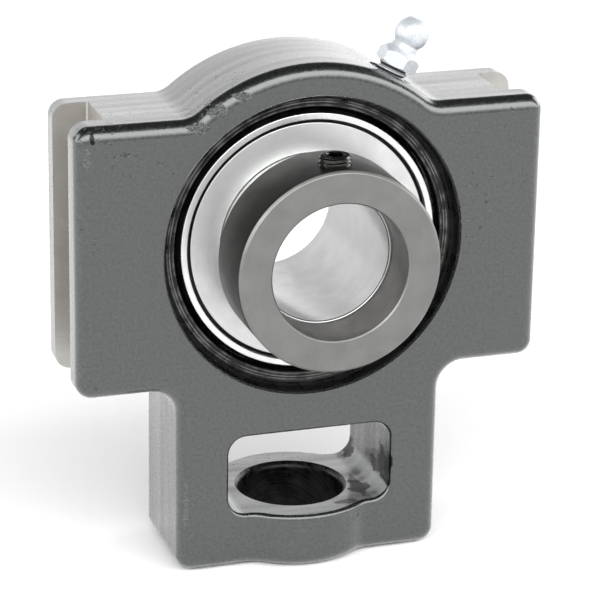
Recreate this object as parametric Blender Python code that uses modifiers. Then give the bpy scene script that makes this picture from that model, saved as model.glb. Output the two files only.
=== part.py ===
"""Take up bearing unit with a 25 mm shaft bore.

A cast housing slides between two guide rails, which run in the grooves of its wings, and a take up screw
pulls on its tail. It holds a spherical insert bearing that is locked on the shaft by an eccentric collar.

Metres, +Z up. The origin is the bearing's centre, the shaft runs along Y, and the collar is at -Y.
A turned profile is a list of (radius, position along the axis) points.
"""

import math

import bmesh
import bpy
from mathutils import Matrix, Vector

MM = 0.001

# Play that keeps neighbouring pieces apart
SEAT_PLAY = 0.3 * MM
BALL_PLAY = 0.2 * MM
FIT_PLAY = 0.3 * MM

# Cutters run this far past what they cut, and points closer than MERGE are one
CUT_OVERRUN = 1.0 * MM
MERGE = 0.001 * MM

# Shaft and insert bearing
SHAFT_BORE = 25.0 * MM
SPHERE_RADIUS = 26.0 * MM
OUTER_RING_WIDTH = 17.0 * MM
BALL_COUNT = 9
BALL_TO_WIDTH = 0.2335
BALL_TO_SPACE = 0.294
OUTER_SHOULDER_SHARE = 0.42
INNER_SHOULDER_SHARE = 0.40
OUTER_RIM = 1.27 * MM
RING_CHAMFER = 0.35 * MM
INNER_RING_REAR = 17.5 * MM
INNER_RING_FRONT = 17.4 * MM
BORE_CHAMFER = 0.8 * MM

# Grease way through the outer ring
GREASE_PLANE = 4.6 * MM
GREASE_GROOVE_WIDTH = 2.2 * MM
GREASE_GROOVE_DEPTH = 0.5 * MM
GREASE_HOLE_RADIUS = 0.8 * MM

# Seals
SEAL_GROOVE_LENGTH = 2.6 * MM
SEAL_GROOVE_DEPTH = 0.5 * MM
SEAL_EDGE_LENGTH = 1.3 * MM
SEAL_RAMP = 0.2 * MM
SEAL_FILLET = 0.1 * MM
SHROUD_HOOK_PLAY = 0.4 * MM
SHROUD_TO_RING = 0.25 * MM
SHROUD_SETBACK = 0.3 * MM
SHROUD_THICKNESS = 0.55 * MM
LIP_THICKNESS = 0.9 * MM
LIP_ROOT = 1.2 * MM
LIP_NOTCH = 0.5 * MM
LIP_CURL = 0.2 * MM

# Cage
CAGE_TO_LIP = 0.8 * MM
CAGE_CLAW_SHARE = 0.65
CAGE_SIDE_PLAY = 0.6 * MM
POCKET_PLAY = 0.28 * MM

# Eccentric locking collar
CAM_LENGTH = 4.2 * MM
CAM_STEP = 0.47 * MM
CAM_OFFSET = 0.8 * MM
COLLAR_WALL = 3.15 * MM
COLLAR_FRONT = 27.0 * MM
COLLAR_BORE_PLAY = 0.35 * MM
COLLAR_CHAMFER = 0.5 * MM
COLLAR_BORE_CHAMFER = 0.25 * MM

# Set screw in the collar
SCREW_HOLE_RADIUS = 3.0 * MM
SCREW_LENGTH = 6.4 * MM
SCREW_ABOVE_COLLAR = 1.7 * MM
SCREW_TO_COLLAR_FRONT = 4.8 * MM
SCREW_SOCKET_WIDTH = 3.0 * MM
SCREW_SOCKET_DEPTH = 2.0 * MM
SCREW_POINT = 0.6 * MM

# Housing casting
HEAD_WALL = 5.8 * MM
RECESS_STEP = 2.2 * MM
RECESS_DEPTH = 3.5 * MM
RECESS_DRAFT = 0.3 * MM
RECESS_FILLET = 1.3 * MM
RECESS_EDGE = 0.3 * MM
SEAT_LAND = 13.8 * MM
SEAT_LEAD = 0.32 * MM
GUIDE_WALL = 9.5 * MM
GUIDE_GROOVE_WIDTH = 12.0 * MM
GUIDE_GROOVE_DEPTH = 6.7 * MM
FLANGE = 6.0 * MM
WING_TOP = 25.5 * MM
WING_BOTTOM = -26.0 * MM
BRIDGE_WALL = 7.8 * MM
SLOT_WIDTH = 32.0 * MM
SLOT_HEIGHT = 15.7 * MM
SLOT_FILLET = 3.5 * MM
SLOT_RIM = 0.9 * MM
TAIL_SIDE_WALL = 9.7 * MM
TAIL_END_WALL = 10.7 * MM
TAKE_UP_HOLE_RADIUS = 10.0 * MM
TAKE_UP_HOLE_EDGE = 0.8 * MM
BOSS_WALL = 6.0 * MM
BOSS_BLEND = 5.0 * MM
HEAD_BLEND = 5.0 * MM
TAIL_BLEND = 5.0 * MM
WING_CORNER = 3.0 * MM
TAIL_CORNER = 3.0 * MM
EDGE_ROUND = 2.8 * MM
LOADING_PLAY = 0.6 * MM

# Grease fitting
FITTING_ANGLE = math.radians(29.0)
SPOT_DEPTH = 0.35 * MM
THREAD_RADIUS = 2.9 * MM
THREAD_LENGTH = 4.5 * MM
PASSAGE_RADIUS = 1.25 * MM
FITTING_RING_RADIUS = 3.1 * MM
FITTING_RING_HEIGHT = 1.8 * MM
HEX_WIDTH = 7.0 * MM
HEX_HEIGHT = 3.4 * MM
HEX_TAPER = 1.5 * MM
NECK_RADIUS = 2.35 * MM
NECK_HEIGHT = 1.1 * MM
NECK_FLARE = 0.3 * MM
HEAD_BALL_RADIUS = 3.2 * MM
TIP_RADIUS = 1.55 * MM
CHECK_BALL_RADIUS = 1.1 * MM
FITTING_COLLAR_EDGE = 0.1 * MM
HEX_ROOT = 0.3 * MM
NECK_ROOT = 0.2 * MM
NECK_TO_HEX = 0.5 * MM
THREAD_POINT = 0.5 * MM
THREAD_RELIEF = 0.8 * MM
MOUTH_LIP = 0.15 * MM
MOUTH_LENGTH = 0.8 * MM
MOUTH_SLOPE = 0.2 * MM
SPRING_SHELF = 0.8 * MM
SPRING_SHELF_WIDTH = 0.1 * MM
SPRING_WIRE_RADIUS = 0.17 * MM
SPRING_TURNS = 5

# Facets
RING_SEGMENTS = 40
SMALL_SEGMENTS = 20
TINY_SEGMENTS = 16
HEAD_SEGMENTS = 10
BOSS_SEGMENTS = 12
BLEND_SEGMENTS = 4
TRACK_SEGMENTS = 5
NOTCH_SEGMENTS = 8
FILLET_SEGMENTS = 3
RIM_SEGMENTS = 2
CAGE_SEGMENTS_PER_BALL = 5
SPRING_SEGMENTS = 9
BALL_SEGMENTS = 12

# Sizes that follow from the ones above
bore_radius = SHAFT_BORE / 2
ring_half = OUTER_RING_WIDTH / 2
ring_face_radius = math.sqrt(SPHERE_RADIUS**2 - ring_half**2)
rim_radius = ring_face_radius - OUTER_RIM
pitch_radius = (bore_radius + SPHERE_RADIUS) / 2
ball_radius = min(BALL_TO_WIDTH * OUTER_RING_WIDTH, BALL_TO_SPACE * (SPHERE_RADIUS - bore_radius))
track_radius = ball_radius + BALL_PLAY
outer_shoulder = pitch_radius + ball_radius * (1 - OUTER_SHOULDER_SHARE)
inner_shoulder = pitch_radius - ball_radius * (1 - INNER_SHOULDER_SHARE)
shroud_face = ring_half - SHROUD_SETBACK
shroud_back = shroud_face - SHROUD_THICKNESS
lip_face = shroud_back - FIT_PLAY / 2
lip_back = lip_face - LIP_THICKNESS
cage_rear = lip_back - LIP_CURL - CAGE_TO_LIP
cam_radius = inner_shoulder - CAM_OFFSET - CAM_STEP
cam_recess_radius = cam_radius + FIT_PLAY
collar_radius = cam_recess_radius + COLLAR_WALL
collar_bore = bore_radius + COLLAR_BORE_PLAY
collar_rear = INNER_RING_FRONT - CAM_LENGTH + FIT_PLAY
screw_plane = COLLAR_FRONT - SCREW_TO_COLLAR_FRONT
seat_radius = SPHERE_RADIUS + SEAT_PLAY
body_half = GUIDE_GROOVE_WIDTH / 2 + FLANGE
recess_radius = seat_radius + RECESS_STEP
head_radius = recess_radius + HEAD_WALL
guide_floor = recess_radius + GUIDE_WALL
wing_reach = guide_floor + GUIDE_GROOVE_DEPTH
slot_top = -(recess_radius + BRIDGE_WALL)
slot_floor = slot_top - SLOT_HEIGHT
tail_end = slot_floor - TAIL_END_WALL
tail_half = SLOT_WIDTH / 2 + TAIL_SIDE_WALL
boss_radius = TAKE_UP_HOLE_RADIUS + BOSS_WALL
fitting_seat = head_radius - SPOT_DEPTH
spring_coil_radius = CHECK_BALL_RADIUS - SPRING_WIRE_RADIUS
fitting_bore = CHECK_BALL_RADIUS + FIT_PLAY

SHAFT_TURN = Matrix.Rotation(-math.pi / 2, 4, "X")
PARTS = "take_up_bearing_unit"
CUTTERS = "cutters"


def clear_scene():
    for item in list(bpy.data.objects):
        bpy.data.objects.remove(item, do_unlink=True)
    for name in (PARTS, CUTTERS):
        group = bpy.data.collections.new(name)
        bpy.context.scene.collection.children.link(group)


def material(name, colour, roughness, metallic):
    finish = bpy.data.materials.new(name)
    finish.use_nodes = True
    shader = finish.node_tree.nodes["Principled BSDF"]
    shader.inputs["Base Color"].default_value = (*colour, 1.0)
    shader.inputs["Roughness"].default_value = roughness
    shader.inputs["Metallic"].default_value = metallic
    return finish


def add_object(name, mesh, group, place=Matrix()):
    item = bpy.data.objects.new(name, mesh)
    item.matrix_world = place
    bpy.data.collections[group].objects.link(item)
    if group == CUTTERS:
        item.hide_render = True
        item.display_type = "WIRE"
    return item


def carry(item, parent):
    """Parent an object where it stands."""
    bpy.context.view_layer.update()
    item.parent = parent
    item.matrix_parent_inverse = parent.matrix_world.inverted()


def arc(centre, radius, start, end, steps):
    """Points on an arc, both ends included."""
    turns = [start + (end - start) * i / steps for i in range(steps + 1)]
    return [(centre[0] + radius * math.cos(a), centre[1] + radius * math.sin(a)) for a in turns]


def fillet(before, corner, after, radius, steps):
    """The arc that rounds a corner, made smaller where a side is too short for it."""
    point = Vector(corner)
    back = Vector(before) - point
    ahead = Vector(after) - point
    half_angle = back.angle(ahead) / 2
    reach = min(radius / math.tan(half_angle), 0.48 * back.length, 0.48 * ahead.length)
    radius = reach * math.tan(half_angle)
    middle = (back.normalized() + ahead.normalized()).normalized()
    centre = point + middle * (radius / math.sin(half_angle))
    first = point + back.normalized() * reach - centre
    last = point + ahead.normalized() * reach - centre
    start = math.atan2(first.y, first.x)
    turn = math.atan2(first.x * last.y - first.y * last.x, first.dot(last))
    return arc(centre, radius, start, start + turn, steps)


def rounded(corners, closed=False, steps=FILLET_SEGMENTS):
    """A path through (x, y, fillet radius) corners."""
    path = []
    count = len(corners)
    for i, (x, y, radius) in enumerate(corners):
        if radius > 0 and (closed or 0 < i < count - 1):
            path += fillet(corners[i - 1][:2], (x, y), corners[(i + 1) % count][:2], radius, steps)
        else:
            path.append((x, y))
    return path


def turned(name, profile, group=PARTS, place=SHAFT_TURN, segments=RING_SEGMENTS):
    """A profile turned about its axis: a closed ring, or open where both ends lie on the axis."""
    points = [(radius, 0.0, along) for radius, along in profile]
    lines = [(i, i + 1) for i in range(len(points) - 1)]
    if profile[0][0] > 0:
        lines.append((len(points) - 1, 0))
    mesh = bpy.data.meshes.new(name)
    mesh.from_pydata(points, lines, [])
    item = add_object(name, mesh, group, place)
    screw = item.modifiers.new("Turn", "SCREW")
    screw.steps = segments
    screw.render_steps = segments
    screw.use_merge_vertices = True
    screw.merge_threshold = MERGE
    return item


def realise(item):
    """Turn an object's evaluated shape into its own mesh, shaded smooth up to its sharp edges."""
    graph = bpy.context.evaluated_depsgraph_get()
    mesh = bpy.data.meshes.new_from_object(item.evaluated_get(graph))
    item.modifiers.clear()
    item.data = mesh
    mesh.shade_smooth()
    mesh.set_sharp_from_angle(angle=math.radians(32))
    return item


def flat_outline(name, outline, thickness, group, place, edge=0.0):
    """A closed outline filled and extruded both ways from its plane, with its rim rounded by edge."""
    curve = bpy.data.curves.new(name, "CURVE")
    curve.dimensions = "2D"
    curve.fill_mode = "BOTH"
    curve.extrude = thickness / 2 - edge
    curve.bevel_depth = edge
    curve.bevel_resolution = FILLET_SEGMENTS - 1
    curve.offset = -edge
    line = curve.splines.new("POLY")
    line.points.add(len(outline) - 1)
    for point, (x, y) in zip(line.points, outline):
        point.co = (x, y, 0.0, 1.0)
    line.use_cyclic_u = True
    guide = add_object(name + "_outline", curve, CUTTERS, place)
    graph = bpy.context.evaluated_depsgraph_get()
    mesh = bpy.data.meshes.new_from_object(guide.evaluated_get(graph))
    bpy.data.objects.remove(guide)
    shape = bmesh.new()
    shape.from_mesh(mesh)
    bmesh.ops.remove_doubles(shape, verts=shape.verts, dist=MERGE)
    level = 0.4999 * thickness
    caps = [face for face in shape.faces if min(abs(vertex.co.z) for vertex in face.verts) > level]
    bmesh.ops.delete(shape, geom=caps, context="FACES")
    bmesh.ops.holes_fill(shape, edges=[edge for edge in shape.edges if edge.is_boundary])
    every = list(shape.verts) + list(shape.edges) + list(shape.faces)
    bmesh.ops.bisect_plane(shape, geom=every, plane_co=(0, 0, 0), plane_no=(1, 0, 0))
    bmesh.ops.recalc_face_normals(shape, faces=shape.faces)
    shape.to_mesh(mesh)
    shape.free()
    return add_object(name, mesh, group, place)


def quarter(radius, steps):
    """(inset, rise) pairs round a quarter circle, from the flat to the side."""
    turns = [math.pi / 2 * i / steps for i in range(steps + 1)]
    return [(radius * (1 - math.sin(a)), radius * (1 - math.cos(a))) for a in turns]


def stacked(name, levels, group, place=Matrix()):
    """A closed body through (outline, height) levels whose outlines have equal counts."""
    mesh = bpy.data.meshes.new(name)
    shape = bmesh.new()
    rings = [[shape.verts.new((x, y, height)) for x, y in outline] for outline, height in levels]
    for low, high in zip(rings, rings[1:]):
        for i in range(len(low)):
            shape.faces.new((low[i - 1], low[i], high[i], high[i - 1]))
    shape.faces.new(rings[0][::-1])
    shape.faces.new(rings[-1])
    bmesh.ops.recalc_face_normals(shape, faces=shape.faces)
    shape.to_mesh(mesh)
    shape.free()
    return add_object(name, mesh, group, place)


def box(name, low, high, group=CUTTERS):
    mesh = bpy.data.meshes.new(name)
    shape = bmesh.new()
    bmesh.ops.create_cube(shape, size=1.0)
    size = Vector(high) - Vector(low)
    bmesh.ops.scale(shape, vec=size, verts=shape.verts)
    bmesh.ops.translate(shape, vec=(Vector(low) + Vector(high)) / 2, verts=shape.verts)
    shape.to_mesh(mesh)
    shape.free()
    return add_object(name, mesh, group)


def combine(item, other, operation):
    step = item.modifiers.new(other.name, "BOOLEAN")
    step.operation = operation
    step.solver = "EXACT"
    step.object = other


def ball(name, radius, place, rings=8, group=PARTS):
    mesh = bpy.data.meshes.new(name)
    shape = bmesh.new()
    bmesh.ops.create_uvsphere(shape, u_segments=BALL_SEGMENTS, v_segments=rings, radius=radius)
    shape.to_mesh(mesh)
    shape.free()
    mesh.shade_smooth()
    return add_object(name, mesh, group, place)


def housing_outline():
    """The casting's front: round head, two wings and the tail."""
    blend_height = WING_TOP + HEAD_BLEND
    blend_reach = math.sqrt((head_radius + HEAD_BLEND) ** 2 - blend_height**2)
    blend_turn = math.atan2(blend_height, blend_reach)
    right = arc((0, 0), head_radius, math.pi / 2, blend_turn, HEAD_SEGMENTS)[1:]
    centre = (blend_reach, blend_height)
    right += arc(centre, HEAD_BLEND, blend_turn + math.pi, 1.5 * math.pi, BLEND_SEGMENTS)[1:]
    right += rounded(
        [
            (blend_reach, WING_TOP, 0),
            (wing_reach, WING_TOP, WING_CORNER),
            (wing_reach, WING_BOTTOM, WING_CORNER),
            (tail_half, WING_BOTTOM, TAIL_BLEND),
            (tail_half, tail_end, TAIL_CORNER),
            (0, tail_end, 0),
        ]
    )[1:-1]
    left = [(-x, y) for x, y in reversed(right)]
    return [(0, head_radius)] + right + left


def slot_outline(grow):
    """The window that holds the take up screw's nut, grown all round."""
    half = SLOT_WIDTH / 2 + grow
    top = slot_top + grow
    floor = slot_floor - grow
    corners = [(half, top), (half, floor), (-half, floor), (-half, top)]
    return rounded([(x, y, SLOT_FILLET + grow) for x, y in corners], closed=True)


def slot_levels():
    """Front to back through the slot, wider at both mouths by the round of their rims."""
    beyond = body_half + CUT_OVERRUN
    rim = quarter(SLOT_RIM, RIM_SEGMENTS)
    levels = [(slot_outline(SLOT_RIM), -beyond)]
    levels += [(slot_outline(grow), depth - body_half) for grow, depth in rim]
    levels += [(slot_outline(grow), body_half - depth) for grow, depth in reversed(rim)]
    return levels + [(slot_outline(SLOT_RIM), beyond)]


def boss_outline(inset):
    """Section of the boss round the take up screw hole, blended into the casting's two faces."""
    height = body_half + BOSS_BLEND
    reach = math.sqrt((boss_radius + BOSS_BLEND) ** 2 - height**2)
    turn = math.atan2(height, reach)
    blend = BOSS_BLEND + inset
    front = [(reach, body_half / 2)]
    front += arc((reach, height), blend, -math.pi / 2, turn - math.pi, BLEND_SEGMENTS)
    front += arc((0, 0), boss_radius - inset, turn, math.pi - turn, BOSS_SEGMENTS)[1:-1]
    front += arc((-reach, height), blend, -turn, -math.pi / 2, BLEND_SEGMENTS)
    front += [(-reach, body_half / 2)]
    back = [(-x, -y) for x, y in front]
    return front + back


def boss_levels():
    """From the tail's end up to the slot's floor, rounded like the edges that it runs into."""
    edge = quarter(EDGE_ROUND, FILLET_SEGMENTS)
    rim = quarter(SLOT_RIM, RIM_SEGMENTS)
    levels = [(boss_outline(inset), tail_end + rise) for inset, rise in edge]
    return levels + [(boss_outline(inset), slot_floor - drop) for inset, drop in reversed(rim)]


def bore_profile():
    """Through the head: recess, step, lead and spherical seat, the same from both faces."""
    floor = body_half - RECESS_DEPTH
    land = SEAT_LAND / 2
    seat_edge = math.sqrt(seat_radius**2 - land**2)
    beyond = body_half + CUT_OVERRUN
    half = [(0, beyond), (recess_radius + RECESS_EDGE, beyond)]
    edge_centre = (recess_radius + RECESS_EDGE, body_half - RECESS_EDGE)
    half += arc(edge_centre, RECESS_EDGE, math.pi / 2, math.pi, RIM_SEGMENTS)
    half += rounded(
        [
            (recess_radius, body_half - RECESS_EDGE, 0),
            (recess_radius - RECESS_DRAFT, floor, RECESS_FILLET),
            (seat_edge + SEAT_LEAD, floor, 0),
        ],
        steps=RIM_SEGMENTS,
    )[1:]
    turn = math.asin(land / seat_radius)
    seat = arc((0, 0), seat_radius, turn, -turn, BLEND_SEGMENTS)
    other = [(radius, -along) for radius, along in reversed(half)]
    return half + seat + other


def take_up_hole_profile():
    edge = TAKE_UP_HOLE_EDGE
    wide = TAKE_UP_HOLE_RADIUS + edge
    top = arc((wide, slot_floor - edge), edge, math.pi / 2, math.pi, RIM_SEGMENTS)
    low = arc((wide, tail_end + edge), edge, math.pi, 1.5 * math.pi, RIM_SEGMENTS)
    above = slot_floor + CUT_OVERRUN
    below = tail_end - CUT_OVERRUN
    return [(0, above), (wide, above)] + top + low + [(wide, below), (0, below)]


def grease_way_profile():
    """Spot face, threaded hole and passage down to the spherical seat, along the fitting's axis."""
    spot = HEX_WIDTH / math.sqrt(3) + FIT_PLAY
    hole = THREAD_RADIUS + FIT_PLAY
    depth = THREAD_LENGTH + THREAD_RELIEF
    bottom = SPHERE_RADIUS - SEAT_PLAY - fitting_seat - CUT_OVERRUN
    return [
        (0, HEAD_WALL),
        (spot, HEAD_WALL),
        (spot, 0),
        (hole, 0),
        (hole, -depth),
        (PASSAGE_RADIUS, -depth - hole + PASSAGE_RADIUS),
        (PASSAGE_RADIUS, bottom),
        (0, bottom),
    ]


def fitting_place():
    """Local Z is the fitting's axis, out from the bearing's centre, and its origin is the spot face."""
    turn = Matrix.Rotation(FITTING_ANGLE, 4, "Y")
    return Matrix.Translation((0, -GREASE_PLANE, 0)) @ turn @ Matrix.Translation((0, 0, fitting_seat))


def build_housing(finish):
    stand_up = Matrix.Rotation(math.pi / 2, 4, "X")
    housing = flat_outline("housing", housing_outline(), 2 * body_half, PARTS, stand_up, EDGE_ROUND)
    combine(housing, stacked("nut_slot", slot_levels(), CUTTERS, stand_up), "DIFFERENCE")
    combine(housing, stacked("screw_boss", boss_levels(), CUTTERS), "UNION")
    reach = wing_reach + CUT_OVERRUN
    low = WING_BOTTOM - CUT_OVERRUN
    high = WING_TOP + CUT_OVERRUN
    groove = GUIDE_GROOVE_WIDTH / 2
    for side, name in ((1, "right_groove"), (-1, "left_groove")):
        ends = sorted((side * guide_floor, side * reach))
        cutter = box(name, (ends[0], -groove, low), (ends[1], groove, high))
        combine(housing, cutter, "DIFFERENCE")
    combine(housing, turned("bore_cut", bore_profile(), CUTTERS), "DIFFERENCE")
    combine(housing, loading_slots(), "DIFFERENCE")
    hole = turned("take_up_hole", take_up_hole_profile(), CUTTERS, Matrix(), SMALL_SEGMENTS)
    combine(housing, hole, "DIFFERENCE")
    way = turned("grease_way", grease_way_profile(), CUTTERS, fitting_place(), SMALL_SEGMENTS)
    combine(housing, way, "DIFFERENCE")
    housing.data.materials.append(finish)
    return realise(housing)


def loading_slots():
    """Two notches at the seat's rear, which let the outer ring in edgeways before it is turned true."""
    radius = SPHERE_RADIUS + LOADING_PLAY
    turn = math.asin((ring_half + LOADING_PLAY) / radius)
    outline = arc((0, 0), radius, -turn, turn, NOTCH_SEGMENTS)
    outline += arc((0, 0), radius, math.pi - turn, math.pi + turn, NOTCH_SEGMENTS)
    depth = body_half + CUT_OVERRUN
    place = Matrix.Translation((0, depth / 2, 0)) @ SHAFT_TURN
    return flat_outline("loading_slots", outline, depth, CUTTERS, place)


def build_outer_ring(finish, axis):
    groove_floor = SPHERE_RADIUS - GREASE_GROOVE_DEPTH
    groove_rear = GREASE_GROOVE_WIDTH / 2 - GREASE_PLANE
    groove_front = -GREASE_GROOVE_WIDTH / 2 - GREASE_PLANE
    edge = math.asin((ring_half - RING_CHAMFER) / SPHERE_RADIUS)
    sphere = arc((0, 0), SPHERE_RADIUS, edge, math.asin(groove_rear / SPHERE_RADIUS), TRACK_SEGMENTS)
    floor = [(math.sqrt(groove_floor**2 - y**2), y) for y in (groove_rear, groove_front)]
    front = arc((0, 0), SPHERE_RADIUS, math.asin(groove_front / SPHERE_RADIUS), -edge, RIM_SEGMENTS)
    outside = sphere + floor + front
    face = ring_face_radius - RING_CHAMFER / 2
    seal_groove = rim_radius + SEAL_GROOVE_DEPTH
    step = ring_half - SEAL_GROOVE_LENGTH
    track = math.acos((outer_shoulder - pitch_radius) / track_radius)
    side = [
        (face, ring_half),
        (rim_radius, ring_half),
        (rim_radius, ring_half - SEAL_EDGE_LENGTH),
        (seal_groove, ring_half - SEAL_EDGE_LENGTH - SEAL_RAMP),
        (seal_groove, step + SEAL_FILLET),
        (outer_shoulder, step),
    ]
    front_side = [(radius, -along) for radius, along in side]
    race = arc((pitch_radius, 0), track_radius, -track, track, TRACK_SEGMENTS)
    profile = outside + front_side + race + side[::-1]
    ring = turned("outer_ring", profile)
    way = Matrix.Translation((0, -GREASE_PLANE, 0)) @ Matrix.Rotation(FITTING_ANGLE, 4, "Y")
    hole_ends = [(0, SPHERE_RADIUS), (GREASE_HOLE_RADIUS, SPHERE_RADIUS)]
    hole_ends += [(GREASE_HOLE_RADIUS, pitch_radius), (0, pitch_radius)]
    combine(ring, turned("grease_hole", hole_ends, CUTTERS, way, TINY_SEGMENTS), "DIFFERENCE")
    ring.data.materials.append(finish)
    carry(ring, axis)
    return realise(ring)


def cam_place():
    return Matrix.Translation((0, 0, -CAM_OFFSET)) @ SHAFT_TURN


def build_inner_ring(finish, axis):
    track = math.acos((pitch_radius - inner_shoulder) / track_radius)
    race = arc((pitch_radius, 0), track_radius, math.pi - track, math.pi + track, TRACK_SEGMENTS)
    profile = [
        (inner_shoulder - BORE_CHAMFER / 2, INNER_RING_REAR),
        (inner_shoulder, INNER_RING_REAR - BORE_CHAMFER / 2),
    ]
    profile += race
    profile += [
        (inner_shoulder, -INNER_RING_FRONT),
        (bore_radius + BORE_CHAMFER / 2, -INNER_RING_FRONT),
        (bore_radius, -INNER_RING_FRONT + BORE_CHAMFER / 2),
        (bore_radius, INNER_RING_REAR - 1.5 * BORE_CHAMFER),
        (bore_radius + BORE_CHAMFER, INNER_RING_REAR),
    ]
    ring = turned("inner_ring", profile)
    step = -INNER_RING_FRONT + CAM_LENGTH
    wide = inner_shoulder + CAM_OFFSET + CUT_OVERRUN
    beyond = -INNER_RING_FRONT - CUT_OVERRUN
    relief = [(wide, step), (wide, beyond), (cam_radius, beyond), (cam_radius, step)]
    combine(ring, turned("cam_relief", relief, CUTTERS, cam_place()), "DIFFERENCE")
    ring.data.materials.append(finish)
    carry(ring, axis)
    return realise(ring)


def build_balls(finish, cage):
    for i in range(BALL_COUNT):
        turn = 2 * math.pi * i / BALL_COUNT
        centre = (pitch_radius * math.sin(turn), 0, pitch_radius * math.cos(turn))
        item = ball(f"ball_{i + 1}", ball_radius, Matrix.Translation(centre) @ SHAFT_TURN)
        item.data.materials.append(finish)
        carry(item, cage)


def build_cage(finish, axis):
    """One moulded crown: a ring behind the balls, with claws that reach forward round each of them."""
    pocket = ball_radius + POCKET_PLAY
    inner = inner_shoulder + CAGE_SIDE_PLAY
    outer = outer_shoulder - CAGE_SIDE_PLAY
    claw = CAGE_CLAW_SHARE * ball_radius
    profile = [(outer, cage_rear), (outer, -claw), (inner, -claw), (inner, cage_rear)]
    cage = turned("cage", profile, segments=CAGE_SEGMENTS_PER_BALL * BALL_COUNT)
    for i in range(BALL_COUNT):
        turn = 2 * math.pi * i / BALL_COUNT
        centre = (pitch_radius * math.sin(turn), 0, pitch_radius * math.cos(turn))
        place = Matrix.Translation(centre) @ Matrix.Rotation(turn, 4, "Y")
        combine(cage, ball(f"pocket_{i + 1}", pocket, place, 6, CUTTERS), "DIFFERENCE")
    cage.data.materials.append(finish)
    carry(cage, axis)
    return realise(cage)


def build_seal(side, steel, rubber, axis):
    """A pressed steel shroud in the outer ring's groove, and the rubber lip behind it."""
    name, sign = side
    outer = rim_radius - FIT_PLAY
    hook = rim_radius + SEAL_GROOVE_DEPTH - FIT_PLAY
    hook_face = ring_half - SEAL_EDGE_LENGTH - FIT_PLAY
    low = ring_half - SEAL_GROOVE_LENGTH + SHROUD_HOOK_PLAY
    skirt = outer - SHROUD_THICKNESS
    shroud_inner = inner_shoulder + SHROUD_TO_RING
    shroud = rounded(
        [
            (outer, shroud_face, SHROUD_THICKNESS / 2),
            (outer, hook_face, 0),
            (hook, hook_face - FIT_PLAY, 0),
            (hook, low, 0),
            (skirt, low, 0),
            (skirt, shroud_back, 0),
            (shroud_inner, shroud_back, 0),
            (shroud_inner, shroud_face, 0),
        ],
        closed=True,
        steps=RIM_SEGMENTS,
    )
    lip_outer = skirt - FIT_PLAY / 2
    lip_edge = inner_shoulder + FIT_PLAY / 2
    lip = [
        (lip_outer, lip_face),
        (lip_outer, lip_back),
        (lip_edge + LIP_ROOT, lip_back),
        (lip_edge, lip_back - LIP_CURL),
        (lip_edge + LIP_NOTCH, (lip_face + lip_back) / 2),
        (lip_edge, lip_face),
    ]
    for piece, profile, finish in (("shroud", shroud, steel), ("lip", lip, rubber)):
        if sign < 0:
            profile = [(radius, -along) for radius, along in reversed(profile)]
        item = turned(f"{name}_seal_{piece}", profile)
        item.data.materials.append(finish)
        carry(item, axis)
        realise(item)


def build_collar(finish, axis):
    """Turned about the shaft, with a recess for the cam turned about the cam's own axis."""
    profile = rounded(
        [
            (collar_radius, -collar_rear, COLLAR_CHAMFER),
            (collar_radius, -COLLAR_FRONT, COLLAR_CHAMFER),
            (collar_bore, -COLLAR_FRONT, COLLAR_BORE_CHAMFER),
            (collar_bore, -collar_rear, 0),
        ],
        closed=True,
        steps=RIM_SEGMENTS,
    )
    collar = turned("locking_collar", profile)
    floor = -INNER_RING_FRONT - FIT_PLAY
    above = -collar_rear + CUT_OVERRUN
    recess = [(0, above), (cam_recess_radius, above), (cam_recess_radius, floor), (0, floor)]
    combine(collar, turned("cam_recess", recess, CUTTERS, cam_place()), "DIFFERENCE")
    top = collar_radius + CUT_OVERRUN
    hole = [(0, top), (SCREW_HOLE_RADIUS, top), (SCREW_HOLE_RADIUS, 0), (0, 0)]
    place = Matrix.Translation((0, -screw_plane, 0))
    combine(collar, turned("screw_hole", hole, CUTTERS, place, SMALL_SEGMENTS), "DIFFERENCE")
    collar.data.materials.append(finish)
    carry(collar, axis)
    return realise(collar)


def hexagon(name, width, low, high, place):
    """A hexagonal prism across flats, along local Z."""
    mesh = bpy.data.meshes.new(name)
    shape = bmesh.new()
    radius = width / math.sqrt(3)
    bmesh.ops.create_cone(
        shape, cap_ends=True, segments=6, radius1=radius, radius2=radius, depth=high - low
    )
    bmesh.ops.translate(shape, vec=(0, 0, (low + high) / 2), verts=shape.verts)
    shape.to_mesh(mesh)
    shape.free()
    return add_object(name, mesh, CUTTERS, place)


def build_set_screw(finish, collar):
    """Hexagon socket set screw with a cup point, drawn back from the shaft so that it stands proud."""
    top = collar_radius + SCREW_ABOVE_COLLAR
    place = Matrix.Translation((0, -screw_plane, top - SCREW_LENGTH))
    radius = SCREW_HOLE_RADIUS - FIT_PLAY
    cup = radius - SCREW_POINT
    profile = [
        (0, SCREW_LENGTH),
        (radius - FIT_PLAY, SCREW_LENGTH),
        (radius, SCREW_LENGTH - FIT_PLAY),
        (radius, SCREW_POINT),
        (cup, 0),
        (0, SCREW_POINT),
    ]
    screw = turned("set_screw", profile, place=place, segments=SMALL_SEGMENTS)
    low = SCREW_LENGTH - SCREW_SOCKET_DEPTH
    socket = hexagon("screw_socket", SCREW_SOCKET_WIDTH, low, SCREW_LENGTH + CUT_OVERRUN, place)
    combine(screw, socket, "DIFFERENCE")
    screw.data.materials.append(finish)
    carry(screw, collar)
    return realise(screw)


def fitting_levels():
    """Heights along the fitting's axis: top of the ring, top of the hexagon, neck, ball centre, tip."""
    ring = FITTING_RING_HEIGHT
    hex_top = ring + HEX_HEIGHT
    neck = hex_top + NECK_HEIGHT
    centre = neck + math.sqrt(HEAD_BALL_RADIUS**2 - NECK_RADIUS**2)
    tip = centre + math.sqrt(HEAD_BALL_RADIUS**2 - TIP_RADIUS**2)
    return ring, hex_top, neck, centre, tip


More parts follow.
